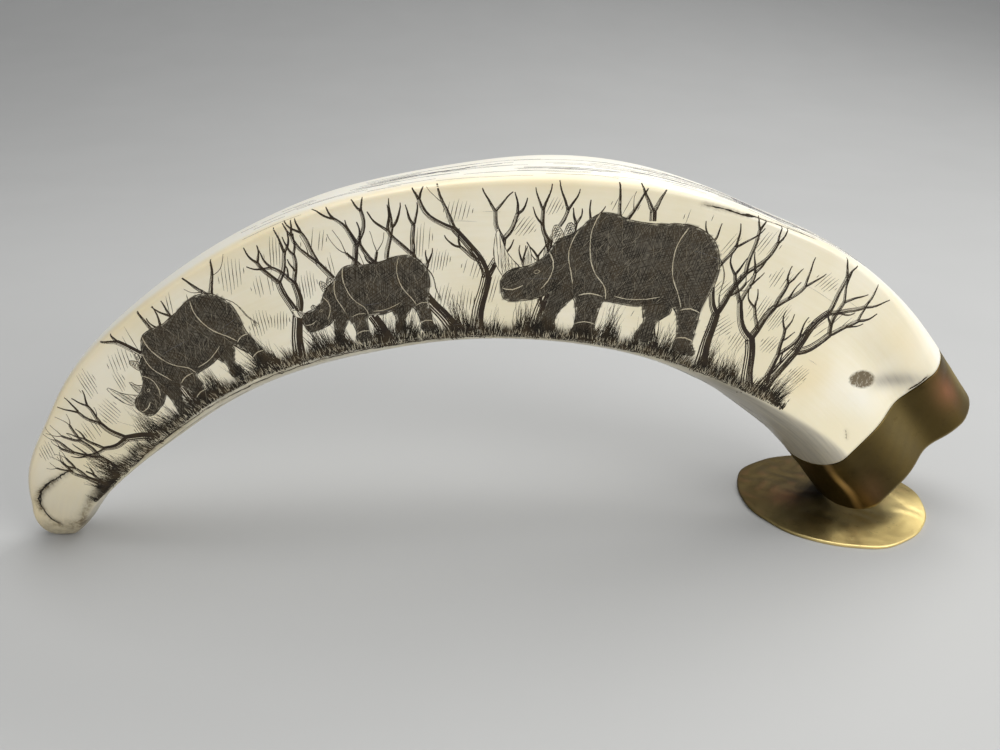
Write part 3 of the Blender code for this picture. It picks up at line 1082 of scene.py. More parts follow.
@dataclass(frozen=True)
class Rhinoceros:
    """One rhinoceros that walks towards the tip, drawn in shares of its height at the shoulder."""

    run: float
    tall: float
    feet: float
    horn: float = 1.0
    tilt: float = 0.0
    settle: float = 0.6
    middle: float = 0.80

    BODY = (
        (0.035, 0.345), (0.02, 0.41), (0.04, 0.465), (0.085, 0.50), (0.14, 0.515), (0.19, 0.52),
        (0.24, 0.54), (0.29, 0.57), (0.335, 0.625), (0.375, 0.69), (0.425, 0.74), (0.485, 0.765),
        (0.55, 0.82), (0.62, 0.895), (0.70, 0.935), (0.79, 0.93), (0.89, 0.905), (1.00, 0.90),
        (1.12, 0.91), (1.24, 0.935), (1.36, 0.945), (1.46, 0.925), (1.545, 0.875), (1.60, 0.79),
        (1.625, 0.67), (1.61, 0.55), (1.575, 0.45), (1.55, 0.36), (1.55, 0.27), (1.545, 0.17),
        (1.55, 0.07), (1.58, 0.0), (1.40, 0.0), (1.405, 0.07), (1.40, 0.17), (1.38, 0.26),
        (1.32, 0.33), (1.23, 0.325), (1.11, 0.29), (0.98, 0.275), (0.87, 0.285), (0.80, 0.28),
        (0.78, 0.19), (0.77, 0.08), (0.795, 0.0), (0.60, 0.0), (0.612, 0.08), (0.61, 0.18),
        (0.59, 0.26), (0.545, 0.33), (0.49, 0.375), (0.44, 0.375), (0.385, 0.325), (0.32, 0.285),
        (0.24, 0.265), (0.16, 0.26), (0.09, 0.265), (0.05, 0.295),
    )
    FAR_LEGS = (
        (
            (0.42, 0.42), (0.50, 0.39), (0.58, 0.33), (0.54, 0.25), (0.485, 0.18), (0.465, 0.08),
            (0.485, 0.03), (0.325, 0.03), (0.335, 0.09), (0.365, 0.18), (0.39, 0.30),
        ),
        (
            (1.10, 0.33), (1.26, 0.37), (1.33, 0.29), (1.26, 0.21), (1.225, 0.13), (1.24, 0.035),
            (1.09, 0.035), (1.10, 0.10), (1.13, 0.20),
        ),
    )
    EARS = (
        ((0.375, 0.69), (0.35, 0.74), (0.345, 0.80), (0.365, 0.83), (0.405, 0.80), (0.43, 0.74)),
        ((0.44, 0.745), (0.435, 0.80), (0.455, 0.845), (0.485, 0.84), (0.50, 0.77)),
    )
    HORNS = (
        (
            (0.03, 0.455), (-0.02, 0.53), (-0.055, 0.64), (-0.045, 0.80),
            (0.01, 0.69), (0.075, 0.59), (0.15, 0.515),
        ),
        ((0.175, 0.52), (0.17, 0.585), (0.19, 0.68), (0.22, 0.61), (0.275, 0.56)),
    )
    TAIL = ((1.61, 0.77), (1.66, 0.69), (1.675, 0.59), (1.67, 0.49), (1.69, 0.41))
    FOLDS = (
        (
            (0.67, 0.93), (0.635, 0.84), (0.63, 0.72), (0.655, 0.59),
            (0.72, 0.47), (0.795, 0.39), (0.815, 0.30),
        ),
        ((1.33, 0.925), (1.275, 0.80), (1.265, 0.66), (1.295, 0.53), (1.355, 0.43), (1.40, 0.33)),
        ((0.53, 0.79), (0.495, 0.70), (0.49, 0.60), (0.52, 0.50), (0.55, 0.40)),
        ((0.345, 0.63), (0.385, 0.56), (0.39, 0.48), (0.365, 0.41), (0.325, 0.355)),
        ((0.88, 0.335), (1.00, 0.325), (1.12, 0.345), (1.22, 0.38)),
        ((0.61, 0.315), (0.69, 0.335), (0.785, 0.32)),
        ((1.395, 0.315), (1.47, 0.345), (1.55, 0.33)),
        ((0.615, 0.095), (0.69, 0.115), (0.77, 0.10)),
        ((1.405, 0.095), (1.475, 0.115), (1.55, 0.10)),
        ((0.04, 0.365), (0.09, 0.35), (0.14, 0.355), (0.19, 0.38)),
    )
    EYE = ((0.255, 0.478), (0.275, 0.494), (0.298, 0.484), (0.277, 0.468))
    # thinly hatched places: middle and size in shares of the height
    SHINE = (
        (1.04, 0.66, 0.13), (1.44, 0.70, 0.09), (0.76, 0.74, 0.07), (0.26, 0.43, 0.05), (0.69, 0.20, 0.03),
    )
    # twice the radius in millimetres to which the ground bends under an animal
    GROUND_BEND = 210.0
    # part, direction in degrees, and gap between the rows in millimetres
    HATCHING = (
        ("body", 78, 0.56), ("body", 24, 0.74), ("body", 128, 0.95), ("far", 84, 0.46),
        ("far", 40, 0.65), ("ears", 70, 0.42), ("ears", 20, 0.6), ("horns", 100, 0.85),
    )
    # part, half width and length of the strokes in millimetres
    CONTOURS = (("body", 0.26, 3.2), ("far", 0.22, 3.2), ("ears", 0.19, 2.2), ("horns", 0.25, 2.6))
    # direction in degrees and gap of the light strokes over the body
    LIGHT_ROWS = ((52, 1.25), (100, 1.7))
    LONGEST_DARK = 6.5
    LONGEST_LIGHT = 4.5

    def placed(self, tusk: Tusk, corners: Array) -> Array:
        """Shares of the height turned into (run, height): set upright in the face's plane, bent to the bow.

        Args:
            tusk: The tusk that is drawn on.
            corners: Points in shares of the animal's height.

        Returns:
            Pairs (run, height) of the same shape.
        """
        foot, way = tusk.to_plane(self.run, self.feet)
        c, s = np.cos(np.radians(self.tilt)), np.sin(np.radians(self.tilt))
        way = np.array([c * way[0] - s * way[1], s * way[0] + c * way[1]])
        up = np.array([-way[1], way[0]])
        x = (corners[..., 0] - self.middle) * self.tall
        y = corners[..., 1] * self.tall - self.settle * x**2 / self.GROUND_BEND
        return tusk.from_plane(foot + x[..., None] * way + y[..., None] * up, self.run)

    def outlines(self) -> dict[str, list[Array]]:
        """Smooth outlines of the parts, in shares of the height."""
        horns = [np.array(horn) for horn in self.HORNS]
        horns = [horn[0] + (horn - horn[0]) * np.array([1, self.horn]) for horn in horns]
        return {
            "body": [smooth_line(np.array(self.BODY), 220, True)],
            "far": [smooth_line(np.array(leg), 60, True) for leg in self.FAR_LEGS],
            "ears": [smooth_line(np.array(ear), 30, True) for ear in self.EARS],
            "horns": [smooth_line(horn, 30) for horn in horns],
        }

    def mask(self, tusk: Tusk) -> list[Array]:
        """Outlines (run, height) of all that hides what stands behind the animal."""
        parts = self.outlines()
        return [self.placed(tusk, line) for group in parts.values() for line in group]

    @staticmethod
    def hatched(
        outline: Array, angle: float, gap: float, longest: float, chance: np.random.Generator
    ) -> Array:
        """Straight strokes inside an outline: rows are sampled, and each run of inside samples is cut up.

        Args:
            outline: Closed outline in millimetres.
            angle: Direction of the strokes in degrees.
            gap: Distance between rows.
            longest: Length of a stroke at most.
            chance: Random numbers.

        Returns:
            Start and end of each stroke, with shape (strokes, 2, 2).
        """
        way = np.array([np.cos(np.radians(angle)), np.sin(np.radians(angle))])
        across = np.array([-way[1], way[0]])
        centre = outline.mean(0)
        reach = np.linalg.norm(outline - centre, axis=1).max()
        rows = np.arange(-reach, reach, gap)
        rows = rows + chance.normal(0, gap * 0.16, len(rows))
        step = 0.2
        marks = np.arange(-reach, reach, step)
        grid = centre + rows[:, None, None] * across + marks[:, None] * way
        inside = np.pad(within(grid, outline), ((0, 0), (1, 1))).astype(int)
        turn = np.diff(inside, axis=1)
        row, first = np.nonzero(turn == 1)
        _, last = np.nonzero(turn == -1)
        length = (last - first) * step
        pieces = np.maximum(1, np.ceil(length / longest)).astype(int)
        row, first, length = (np.repeat(values, pieces) for values in (row, first, length))
        index = np.arange(len(row)) - np.repeat(np.cumsum(pieces) - pieces, pieces)
        many = np.repeat(pieces, pieces)
        low = marks[0] + first * step + length * index / many
        high = low + length / many
        slip = chance.uniform(-0.10, 0.16, (2, len(row))) * np.minimum(length / many, 3.0)
        low, high = low - slip[0] * (index > 0), high + slip[1] * (index < many - 1)
        keep = high - low > 0.35
        base = centre + rows[row][:, None] * across
        return np.stack([base + low[:, None] * way, base + high[:, None] * way], 1)[keep]

    def engrave(self, tusk: Tusk, ink: Pen, spared: Pen) -> None:
        """Draws the animal: crossed hatching, outlines, light folds, horns, eye and tail.

        Args:
            tusk: The tusk that is drawn on.
            ink: The pen for dark strokes.
            spared: The pen for lines that are left light.
        """
        parts = self.outlines()
        shine = np.array(self.SHINE)
        for number, (group, angle, gap) in enumerate(self.HATCHING):
            for line in parts[group]:
                ends = self.hatched(line * self.tall, angle, gap, self.LONGEST_DARK, ink.chance)
                ends = ends / self.tall
                away = np.linalg.norm(ends.mean(1)[:, None] - shine[:, :2], axis=2)
                glow = np.exp(-((away / shine[:, 2]) ** 2)).max(1)
                spare = (0.70 if number else 0.20) * (group == "body")
                keep = ink.chance.random(len(ends)) > glow * spare
                ends = self.placed(tusk, ends[keep])
                width = ink.chance.uniform(0.17, 0.25, len(ends))
                bow = ink.chance.normal(0, 0.02, len(ends))
                ink.sweep(ends[:, 0], ends[:, 1], width, bow, heavy=0.5)
        for group, width, piece in self.CONTOURS:
            for line in parts[group]:
                closed = line if group == "horns" else np.vstack([line, line[:1]])
                ink.trace(self.placed(tusk, closed), width, piece, shake=0.012 * piece)
        for horn in parts["horns"]:
            tip = horn[horn[:, 1].argmax()]
            root = horn[0] + (horn[-1] - horn[0]) * np.linspace(0.08, 0.6, 6)[:, None]
            starts = self.placed(tusk, root)
            ends = self.placed(tusk, tip + (root - tip) * 0.35)
            ink.sweep(starts, ends, 0.10, bow=0.06, heavy=0.2)
        tail = self.placed(tusk, smooth_line(np.array(self.TAIL), 24))
        for aside in (-0.12, 0.0, 0.12):
            ink.trace(tail + np.array([aside, 0]), 0.13, 4.0)
        tuft = tail[-1] + ink.chance.normal(0, 0.25, (9, 2))
        drop = np.stack([ink.chance.normal(0.2, 0.5, 9), -ink.chance.uniform(1.2, 2.6, 9)], 1)
        ink.sweep(tuft, tuft + drop * self.tall / 34, 0.09, heavy=0.1)
        for fold in self.FOLDS:
            line = self.placed(tusk, smooth_line(np.array(fold), 40))
            spared.trace(line, 0.25 * min(1.0, self.tall / 28), 4.5, shake=0.03)
        eye = self.placed(tusk, smooth_line(np.array(self.EYE), 16, True))
        spared.trace(np.vstack([eye, eye[:1]]), 0.12, 1.2, shake=0.0)
        ear = parts["ears"][0]
        spared.trace(self.placed(tusk, ear[4:26] * 0.82 + ear.mean(0) * 0.18), 0.13, 2.0, shake=0.0)
        body = parts["body"][0] * self.tall
        for angle, gap in self.LIGHT_ROWS:
            ends = self.hatched(body, angle, gap, self.LONGEST_LIGHT, ink.chance) / self.tall
            ends = self.placed(tusk, ends[ink.chance.random(len(ends)) < 0.42])
            tone = ink.chance.uniform(0.5, 1.0, len(ends))
            spared.sweep(ends[:, 0], ends[:, 1], 0.085, heavy=0.5, tone=tone)


@dataclass(frozen=True)
class BareTree:
    """A leafless tree: each limb forks into lesser limbs until they reach the face's upper edge."""

    run: float
    lean: float
    reach: float
    thick: float = 1.5
    forks: int = 4
    spread: float = 0.50
    side: Side = Side.FRONT
    root: float = 0.0

    # places of the fibres across a limb, as shares of its half width
    FIBRES = (-0.95, -0.72, -0.48, -0.22, 0.05, 0.5, 0.95)

    def grow(self, tusk: Tusk, ink: Pen, hidden: list[Array], top: float = 0.9) -> Array:
        """Draws the tree level by level, each level as whole arrays.

        Args:
            tusk: The tusk that is drawn on.
            ink: The pen.
            hidden: Outlines that stand in front of the tree.
            top: How far above the flat face the twigs may reach.

        Returns:
            Points of all its limbs, for what keeps clear of them.
        """
        chance = ink.chance
        low = -tusk.half(np.array([self.run])) - 0.4 + self.root
        place = np.stack([np.array([self.run]), low], 1)
        angle, length = np.array([self.lean]), np.array([self.reach])
        width = np.array([self.thick])
        share = np.linspace(0, 1, 8)
        taken = []
        for level in range(self.forks):
            limit = tusk.half(place[:, 0]) + top - place[:, 1]
            length = np.minimum(length, limit / np.maximum(np.cos(angle), 0.3))
            width = np.minimum(width, 0.13 * length + 0.08)
            curl = chance.normal(0, 0.25, len(place)) - 0.70 * angle * (level > 0)
            wobble = 0.10 * np.sin(share * 7 + chance.uniform(0, 6, (len(place), 1)))
            bearing = angle[:, None] + curl[:, None] * share + wobble
            step = (length / (len(share) - 1))[:, None, None]
            hops = np.cumsum(step * np.stack([np.sin(bearing), np.cos(bearing)], 2), 1)
            path = place[:, None] + np.concatenate([np.zeros((len(place), 1, 2)), hops[:, :-1]], 1)
            room = tusk.half(path[:, -1, 0]) + top - path[:, -1, 1]
            ending = (room < 2.0) | (level == self.forks - 1)
            wide = width[:, None] * (1 - np.where(ending, 0.80, 0.26)[:, None] * share)
            flare = 1 + 0.7 * np.exp(-share * 6) * (level == 0)
            near = path[..., 1].max(1) > tusk.half(path[:, -1, 0]) - 1.2
            self.limb(ink, path[~near], (wide * flare)[~near], hidden)
            self.limb(ink, *self.finer(path[near], (wide * flare)[near]), hidden)
            taken.append(path.reshape(-1, 2))
            child = np.repeat(np.arange(len(place)), 3)
            kind = np.tile([0, 1, 2], len(place))
            at = np.where(kind == 2, chance.integers(2, 5, len(child)), 7)
            turn = self.spread * np.where(kind == 0, -1, 1) * chance.uniform(0.6, 1.35, len(child))
            aside = chance.choice([-1, 1], len(child)) * chance.uniform(0.5, 0.95, len(child))
            turn = np.where(kind == 2, aside, turn)
            place = path[child, at]
            length = length[child] * chance.uniform(0.62, 0.90, len(child)) * np.where(kind == 2, 0.7, 1.0)
            width = wide[child, at] * np.where(kind == 2, 0.55, 0.80)
            angle = np.clip(bearing[child, at] + turn, -1.45, 1.45)
            room = tusk.half(place[:, 0]) + top - place[:, 1]
            keep = (length > 1.6) & (room > 1.3) & ((kind < 2) | (chance.random(len(child)) < 0.4))
            place, length, width, angle = place[keep], length[keep], width[keep], angle[keep]
            if not len(place):
                break
        return np.concatenate(taken)

    def limb(self, ink: Pen, path: Array, wide: Array, hidden: list[Array]) -> None:
        """Draws limbs as bundles of fibres, denser on the shaded side, cut where something stands in front.

        Args:
            ink: The pen.
            path: Points of the limbs.
            wide: Half widths at the points.
            hidden: Outlines that hide the limbs.
        """
        if not len(path):
            return
        way = np.gradient(path, axis=1)
        across = np.stack([-way[..., 1], way[..., 0]], 2)
        across /= np.linalg.norm(across, axis=2, keepdims=True) + 1e-9
        thick = wide[:, 0] > 0.26
        stout, size = path[thick], wide[thick]
        for part in self.FIBRES:
            line = stout + across[thick] * (size * part)[..., None]
            line = line + ink.chance.normal(0, 0.02, stout.shape)
            fine = np.clip(size * 0.27, 0.11, 0.34) * ink.chance.uniform(0.6, 1.25, (len(stout), 1))
            self.show(ink, line, fine, hidden)
        self.show(ink, path[~thick], np.maximum(wide[~thick], 0.12), hidden)

    @staticmethod
    def finer(lines: Array, widths: Array, times: int = 3) -> tuple[Array, Array]:
        """More points along each line, and widths to match, for rounded edges and clean cuts."""
        at = np.linspace(0, lines.shape[1] - 1.001, times * lines.shape[1])
        low, part = at.astype(int), at % 1
        widths = widths[:, low] * (1 - part) + widths[:, low + 1] * part
        return lines[:, low] * (1 - part)[:, None] + lines[:, low + 1] * part[:, None], widths

    def show(self, ink: Pen, lines: Array, widths: Array, hidden: list[Array]) -> None:
        """Draws the lines that are free, and of the others only the spans that are."""
        if not len(lines):
            return
        free = ~covered(lines, hidden).any(1)
        ink.draw(lines[free], widths[free], 0.0, self.side)
        lines, widths = lines[~free], widths[~free]
        if len(lines):
            lines, widths = self.finer(lines, widths)
            shut = covered(lines, hidden)
            spans = np.stack([lines[:, :-1], lines[:, 1:]], 2).reshape(-1, 2, 2)
            sizes = np.stack([widths[:, :-1], widths[:, 1:]], 2).reshape(-1, 2)
            clear = ~(shut[:, :-1] | shut[:, 1:]).ravel()
            ink.draw(spans[clear], sizes[clear], 0.0, self.side)


@dataclass
class Engraving:
    """The whole drawing: two rhinoceroses and a calf among bare trees and tall grass, and a plainer back."""

    tusk: Tusk
    animals: tuple[Rhinoceros, ...] = (
        Rhinoceros(68.0, 25.5, -13.6, tilt=3.0),
        Rhinoceros(120.0, 22.0, -16.6, horn=0.4, tilt=-2.0),
        Rhinoceros(187.0, 36.0, -19.4, tilt=1.0),
    )
    trees: tuple[BareTree, ...] = (
        BareTree(20.0, -0.45, 7.0, 1.1),
        BareTree(26.0, 0.05, 8.5, 1.2),
        BareTree(44.0, -0.50, 11.0, 1.4),
        BareTree(91.0, -0.62, 15.0, 1.6),
        BareTree(96.0, 0.45, 14.0, 1.6),
        BareTree(146.0, -0.68, 16.0, 1.7),
        BareTree(150.5, 0.20, 17.0, 1.7),
        BareTree(223.0, -0.15, 17.0, 1.5),
        BareTree(240.0, -0.50, 16.0, 1.7),
        BareTree(244.5, 0.04, 16.5, 1.9),
        BareTree(61.0, 0.22, 17.0, 1.5),
        BareTree(167.0, 0.34, 16.0, 1.6),
        BareTree(205.0, -0.30, 22.0, 1.7),
        BareTree(124.0, -0.20, 17.0, 1.4),
    )
    back_trees: tuple[BareTree, ...] = (
        BareTree(52.0, 0.35, 9.0, 0.8, side=Side.BACK, root=4.0),
        BareTree(88.0, -0.3, 12.0, 1.0, side=Side.BACK, root=4.0),
        BareTree(92.0, 0.4, 10.0, 0.9, side=Side.BACK, root=4.0),
        BareTree(150.0, 0.2, 13.0, 1.1, forks=5, side=Side.BACK, root=4.0),
        BareTree(206.0, -0.35, 13.0, 1.1, forks=5, side=Side.BACK, root=4.0),
        BareTree(211.0, 0.3, 12.0, 1.0, side=Side.BACK, root=4.0),
    )
    first: float = 10.0
    last: float = 256.0
    fleck_count: int = 850
    patch_tries: int = 900
    patch_strokes: int = 8
    patch_gap: float = 4.9
    limb_gap: float = 1.5
    animal_gap: float = 1.8
    stroke_gap: float = 0.35

    # kinds of grass: number, height up to which it starts, height of a blade, half width
    GRASS = ((3300, 0.8, 7.0, 0.16), (1500, 0.4, 11.0, 0.14), (2300, 0.3, 2.8, 0.25), (900, 2.6, 4.2, 0.13))

    def build(self) -> list[bpy.types.Object]:
        """Draws with one pen for each kind of mark.

        Returns:
            The dressed pieces.
        """
        masks = [line for animal in self.animals for line in animal.mask(self.tusk)]
        pens = {
            "animals": Pen("engraved_animals", InkFinish("ink of the animals"), 11),
            "spared": Pen(
                "spared_lines",
                InkFinish("spared ivory lines", (0.58, 0.52, 0.38), (0.48, 0.41, 0.28), (0.17, 0.14, 0.10)),
                12,
                proud=0.05,
            ),
            "trees": Pen(
                "engraved_trees",
                InkFinish("ink of the trees", (0.030, 0.021, 0.015)),
                13,
                proud=0.045,
            ),
            "grass": Pen("engraved_grass", InkFinish("ink of the grass"), 14),
            "shading": Pen("engraved_shading", InkFinish("ink of the shading", (0.05, 0.038, 0.028)), 15),
            "back": Pen("engraved_back", InkFinish("ink of the back"), 16),
        }
        for animal in self.animals:
            animal.engrave(self.tusk, pens["animals"], pens["spared"])
        limbs = [tree.grow(self.tusk, pens["trees"], masks) for tree in self.trees]
        self.grass(pens["grass"], Side.FRONT, 1.0)
        self.flecks(pens["spared"])
        self.shading(pens["shading"], masks, np.concatenate(limbs))
        for tree in self.back_trees:
            tree.grow(self.tusk, pens["back"], [], -1.5)
        self.grass(pens["back"], Side.BACK, 0.35)
        return [pen.build(self.tusk) for pen in pens.values()]

    def washed(self) -> list[Array]:
        """Outlines of the bodies and far legs, which get a wash of ink under their strokes."""
        return [line for animal in self.animals for line in animal.mask(self.tusk)[:3]]

    def ground(self, run: Array, side: Side) -> Array:
        """Height of the ground: the face's lower edge, or a line low on the back."""
        half = self.tusk.half(run)
        return -half + edge_strip(run) if side is Side.FRONT else -half + 3.5 + 0.6 * np.sin(run * 0.13)

    def grass(self, pen: Pen, side: Side, plenty: float) -> None:
        """Blades along the ground, in clumps: long thin ones over short thick ones.

        Args:
            pen: The pen.
            side: The side that they grow on.
            plenty: Share of the full number.
        """
        for count, base, tall, width in self.GRASS:
            number = int(count * plenty)
            run = pen.chance.uniform(self.first, self.last, number)
            clump = 0.62 + 0.30 * np.sin(run * 0.31) + 0.25 * np.sin(run * 0.73 + 1)
            clump = clump + 0.15 * np.sin(run * 1.9)
            fade = rise(run, self.first - 2, self.first + 18)
            fade = fade * (0.4 + 0.6 * rise(run, self.last, self.last - 8))
            height = tall * np.clip(clump, 0.2, 1.3) * pen.chance.uniform(0.45, 1.25, number)
            height = height * (0.35 + 0.65 * fade)
            lean = pen.chance.normal(0, 0.16, number) + 0.22 * np.sin(run * 0.21)
            lean = lean + 0.15 * np.sin(run * 0.57 + 2)
            start = np.stack([run, self.ground(run, side) + pen.chance.uniform(-0.5, base, number)], 1)
            end = start + height[:, None] * np.stack([np.sin(lean), np.cos(lean)], 1)
            size = width * pen.chance.uniform(0.6, 1.3, number)
            bow = pen.chance.normal(0, 0.06, number)
            pen.sweep(start, end, size, bow, heavy=0.12, side=side)

    def flecks(self, pen: Pen) -> None:
        """Light flecks scraped through the dark foot of the grass."""
        run = pen.chance.uniform(self.first + 15, self.last - 6, self.fleck_count)
        lean = pen.chance.normal(0.05, 0.25, len(run))
        start = np.stack([run, self.ground(run, Side.FRONT) + pen.chance.uniform(-0.6, 1.2, len(run))], 1)
        size = pen.chance.uniform(0.5, 1.9, len(run))[:, None]
        pen.sweep(start, start + size * np.stack([np.sin(lean), np.cos(lean)], 1), 0.12, heavy=0.3)

    def shading(self, pen: Pen, masks: list[Array], limbs: Array) -> None:
        """Leaf-shaped groups of slanted strokes in the open sky, clear of animals and limbs.

        Args:
            pen: The pen.
            masks: Outlines of the animals.
            limbs: Points of the trees.
        """
        run = pen.chance.uniform(self.first + 4, self.last - 2, self.patch_tries)
        height = pen.chance.uniform(-0.55, 0.80, len(run)) * self.tusk.half(run)
        spots = np.stack([run, height], 1)
        clear = np.linalg.norm(spots[:, None] - limbs, axis=2).min(1) > self.limb_gap
        for outline in masks:
            gap, _ = near_line(spots[:, 0], spots[:, 1], outline[::4])
            clear &= ~within(spots, outline) & (gap > self.animal_gap)
        kept: list[Array] = []
        for spot in spots[clear]:
            if all(np.linalg.norm((spot - other) / (1, 1.8)) > self.patch_gap for other in kept):
                kept.append(spot)
        centres = np.array(kept)
        count = self.patch_strokes
        offset = np.linspace(-1, 1, count)
        angle = pen.chance.normal(0.30, 0.12, len(centres))
        size = pen.chance.uniform(2.6, 4.4, len(centres))
        gap = pen.chance.uniform(0.60, 0.85, len(centres))
        way = np.stack([np.sin(angle), np.cos(angle)], 1)
        across = np.stack([way[:, 1], -way[:, 0]], 1)
        reach = size[:, None] * np.sqrt(1.05 - offset**2)
        reach = reach * pen.chance.uniform(0.7, 1.15, (len(centres), count))
        middle = centres[:, None] + across[:, None] * (offset * count / 2 * gap[:, None])[..., None]
        middle = middle + way[:, None] * (offset * 0.25 * size[:, None])[..., None]
        start = (middle - way[:, None] * reach[..., None]).reshape(-1, 2)
        end = (middle + way[:, None] * reach[..., None]).reshape(-1, 2)
        clear = ~(covered(start, masks) | covered(end, masks))
        for point in (start, end, (start + end) / 2):
            clear &= np.linalg.norm(point[:, None] - limbs, axis=2).min(1) > self.stroke_gap
        width = pen.chance.uniform(0.16, 0.24, clear.sum())
        pen.sweep(start[clear], end[clear], width, heavy=0.45, points=3)


@dataclass
class Scratches:
    """Cracks that have drawn in dirt, and grey scratches over the bleached top."""

    tusk: Tusk

    # number, runs, heights above the face's upper edge, lengths, half width, tones
    SCATTERED = (
        (46, (95, 238), (2.0, 13.0), (4, 22), 0.07, (0.35, 0.8)),
        (34, (120, 215), (5.0, 15.0), (8, 34), 0.10, (0.3, 0.65)),
        (44, (6, 280), (-75.0, -48.0), (5, 26), 0.07, (0.5, 0.9)),
        (18, (40, 262), (-40.0, -6.0), (3, 10), 0.045, (0.7, 0.95)),
    )

    def build(self) -> bpy.types.Object:
        """Draws each crack along its groove and scatters scratches along the run.

        Returns:
            The dressed piece.
        """
        dirt = InkFinish("dirt in the cracks", (0.012, 0.010, 0.008))
        pen = Pen("cracks_and_scratches", dirt, 21, proud=0.055)
        for groove in self.tusk.grooves:
            line = self.jagged(groove.corners(), pen.chance)
            share = np.linspace(0, 1, len(line))
            swell = np.minimum(1, 6 * np.minimum(share, 1 - share) + 0.15)
            swell = swell * (0.8 + 0.35 * np.sin(share * 17 + len(line)) * np.sin(share * 31 + 1))
            pen.draw(line[None], (groove.width * 0.75 * groove.ink * swell)[None])
        for number, runs, above, lengths, width, tones in self.SCATTERED:
            self.scatter(pen, number, runs, above, lengths, width, tones)
        return pen.build(self.tusk)

    @staticmethod
    def jagged(corners: Array, chance: np.random.Generator) -> Array:
        """A line with small random steps to its sides, between corners that stay."""
        run = np.concatenate([[0], np.cumsum(np.linalg.norm(np.diff(corners, axis=0), axis=1))])
        at = np.linspace(0, run[-1], max(8, int(run[-1] / 0.5)))
        line = np.stack([np.interp(at, run, corners[:, k]) for k in (0, 1)], 1)
        rough = np.convolve(chance.normal(0, 0.16, len(at) + 4), np.ones(5) / 2.2, "valid")
        return line + np.stack([np.zeros(len(at)), rough], 1)

    def scatter(
        self,
        pen: Pen,
        number: int,
        runs: tuple[float, float],
        above: tuple[float, float],
        lengths: tuple[float, float],
        width: float,
        tones: tuple[float, float],
    ) -> None:
        """Long thin scratches along the run.

        Args:
            pen: The pen.
            number: How many.
            runs: First and last run.
            above: Range of heights above the face's upper edge.
            lengths: Range of lengths.
            width: Half width.
            tones: Range of tones.
        """
        run = pen.chance.uniform(*runs, number)
        height = self.tusk.half(run) + pen.chance.uniform(*above, number)
        length = pen.chance.uniform(*lengths, number)
        slope = pen.chance.normal(0.0, 0.03, number)
        share = np.linspace(0, 1, 9)
        along = np.minimum(run[:, None] + length[:, None] * share, self.tusk.seam - 3)
        lift = height[:, None] + slope[:, None] * (along - run[:, None])
        lift = lift + 0.25 * np.sin(along * 0.4 + run[:, None]) * share
        swell = np.sin(np.pi * (0.06 + 0.88 * share)) * width
        pen.draw(np.stack([along, lift], 2), swell, pen.chance.uniform(*tones, number))


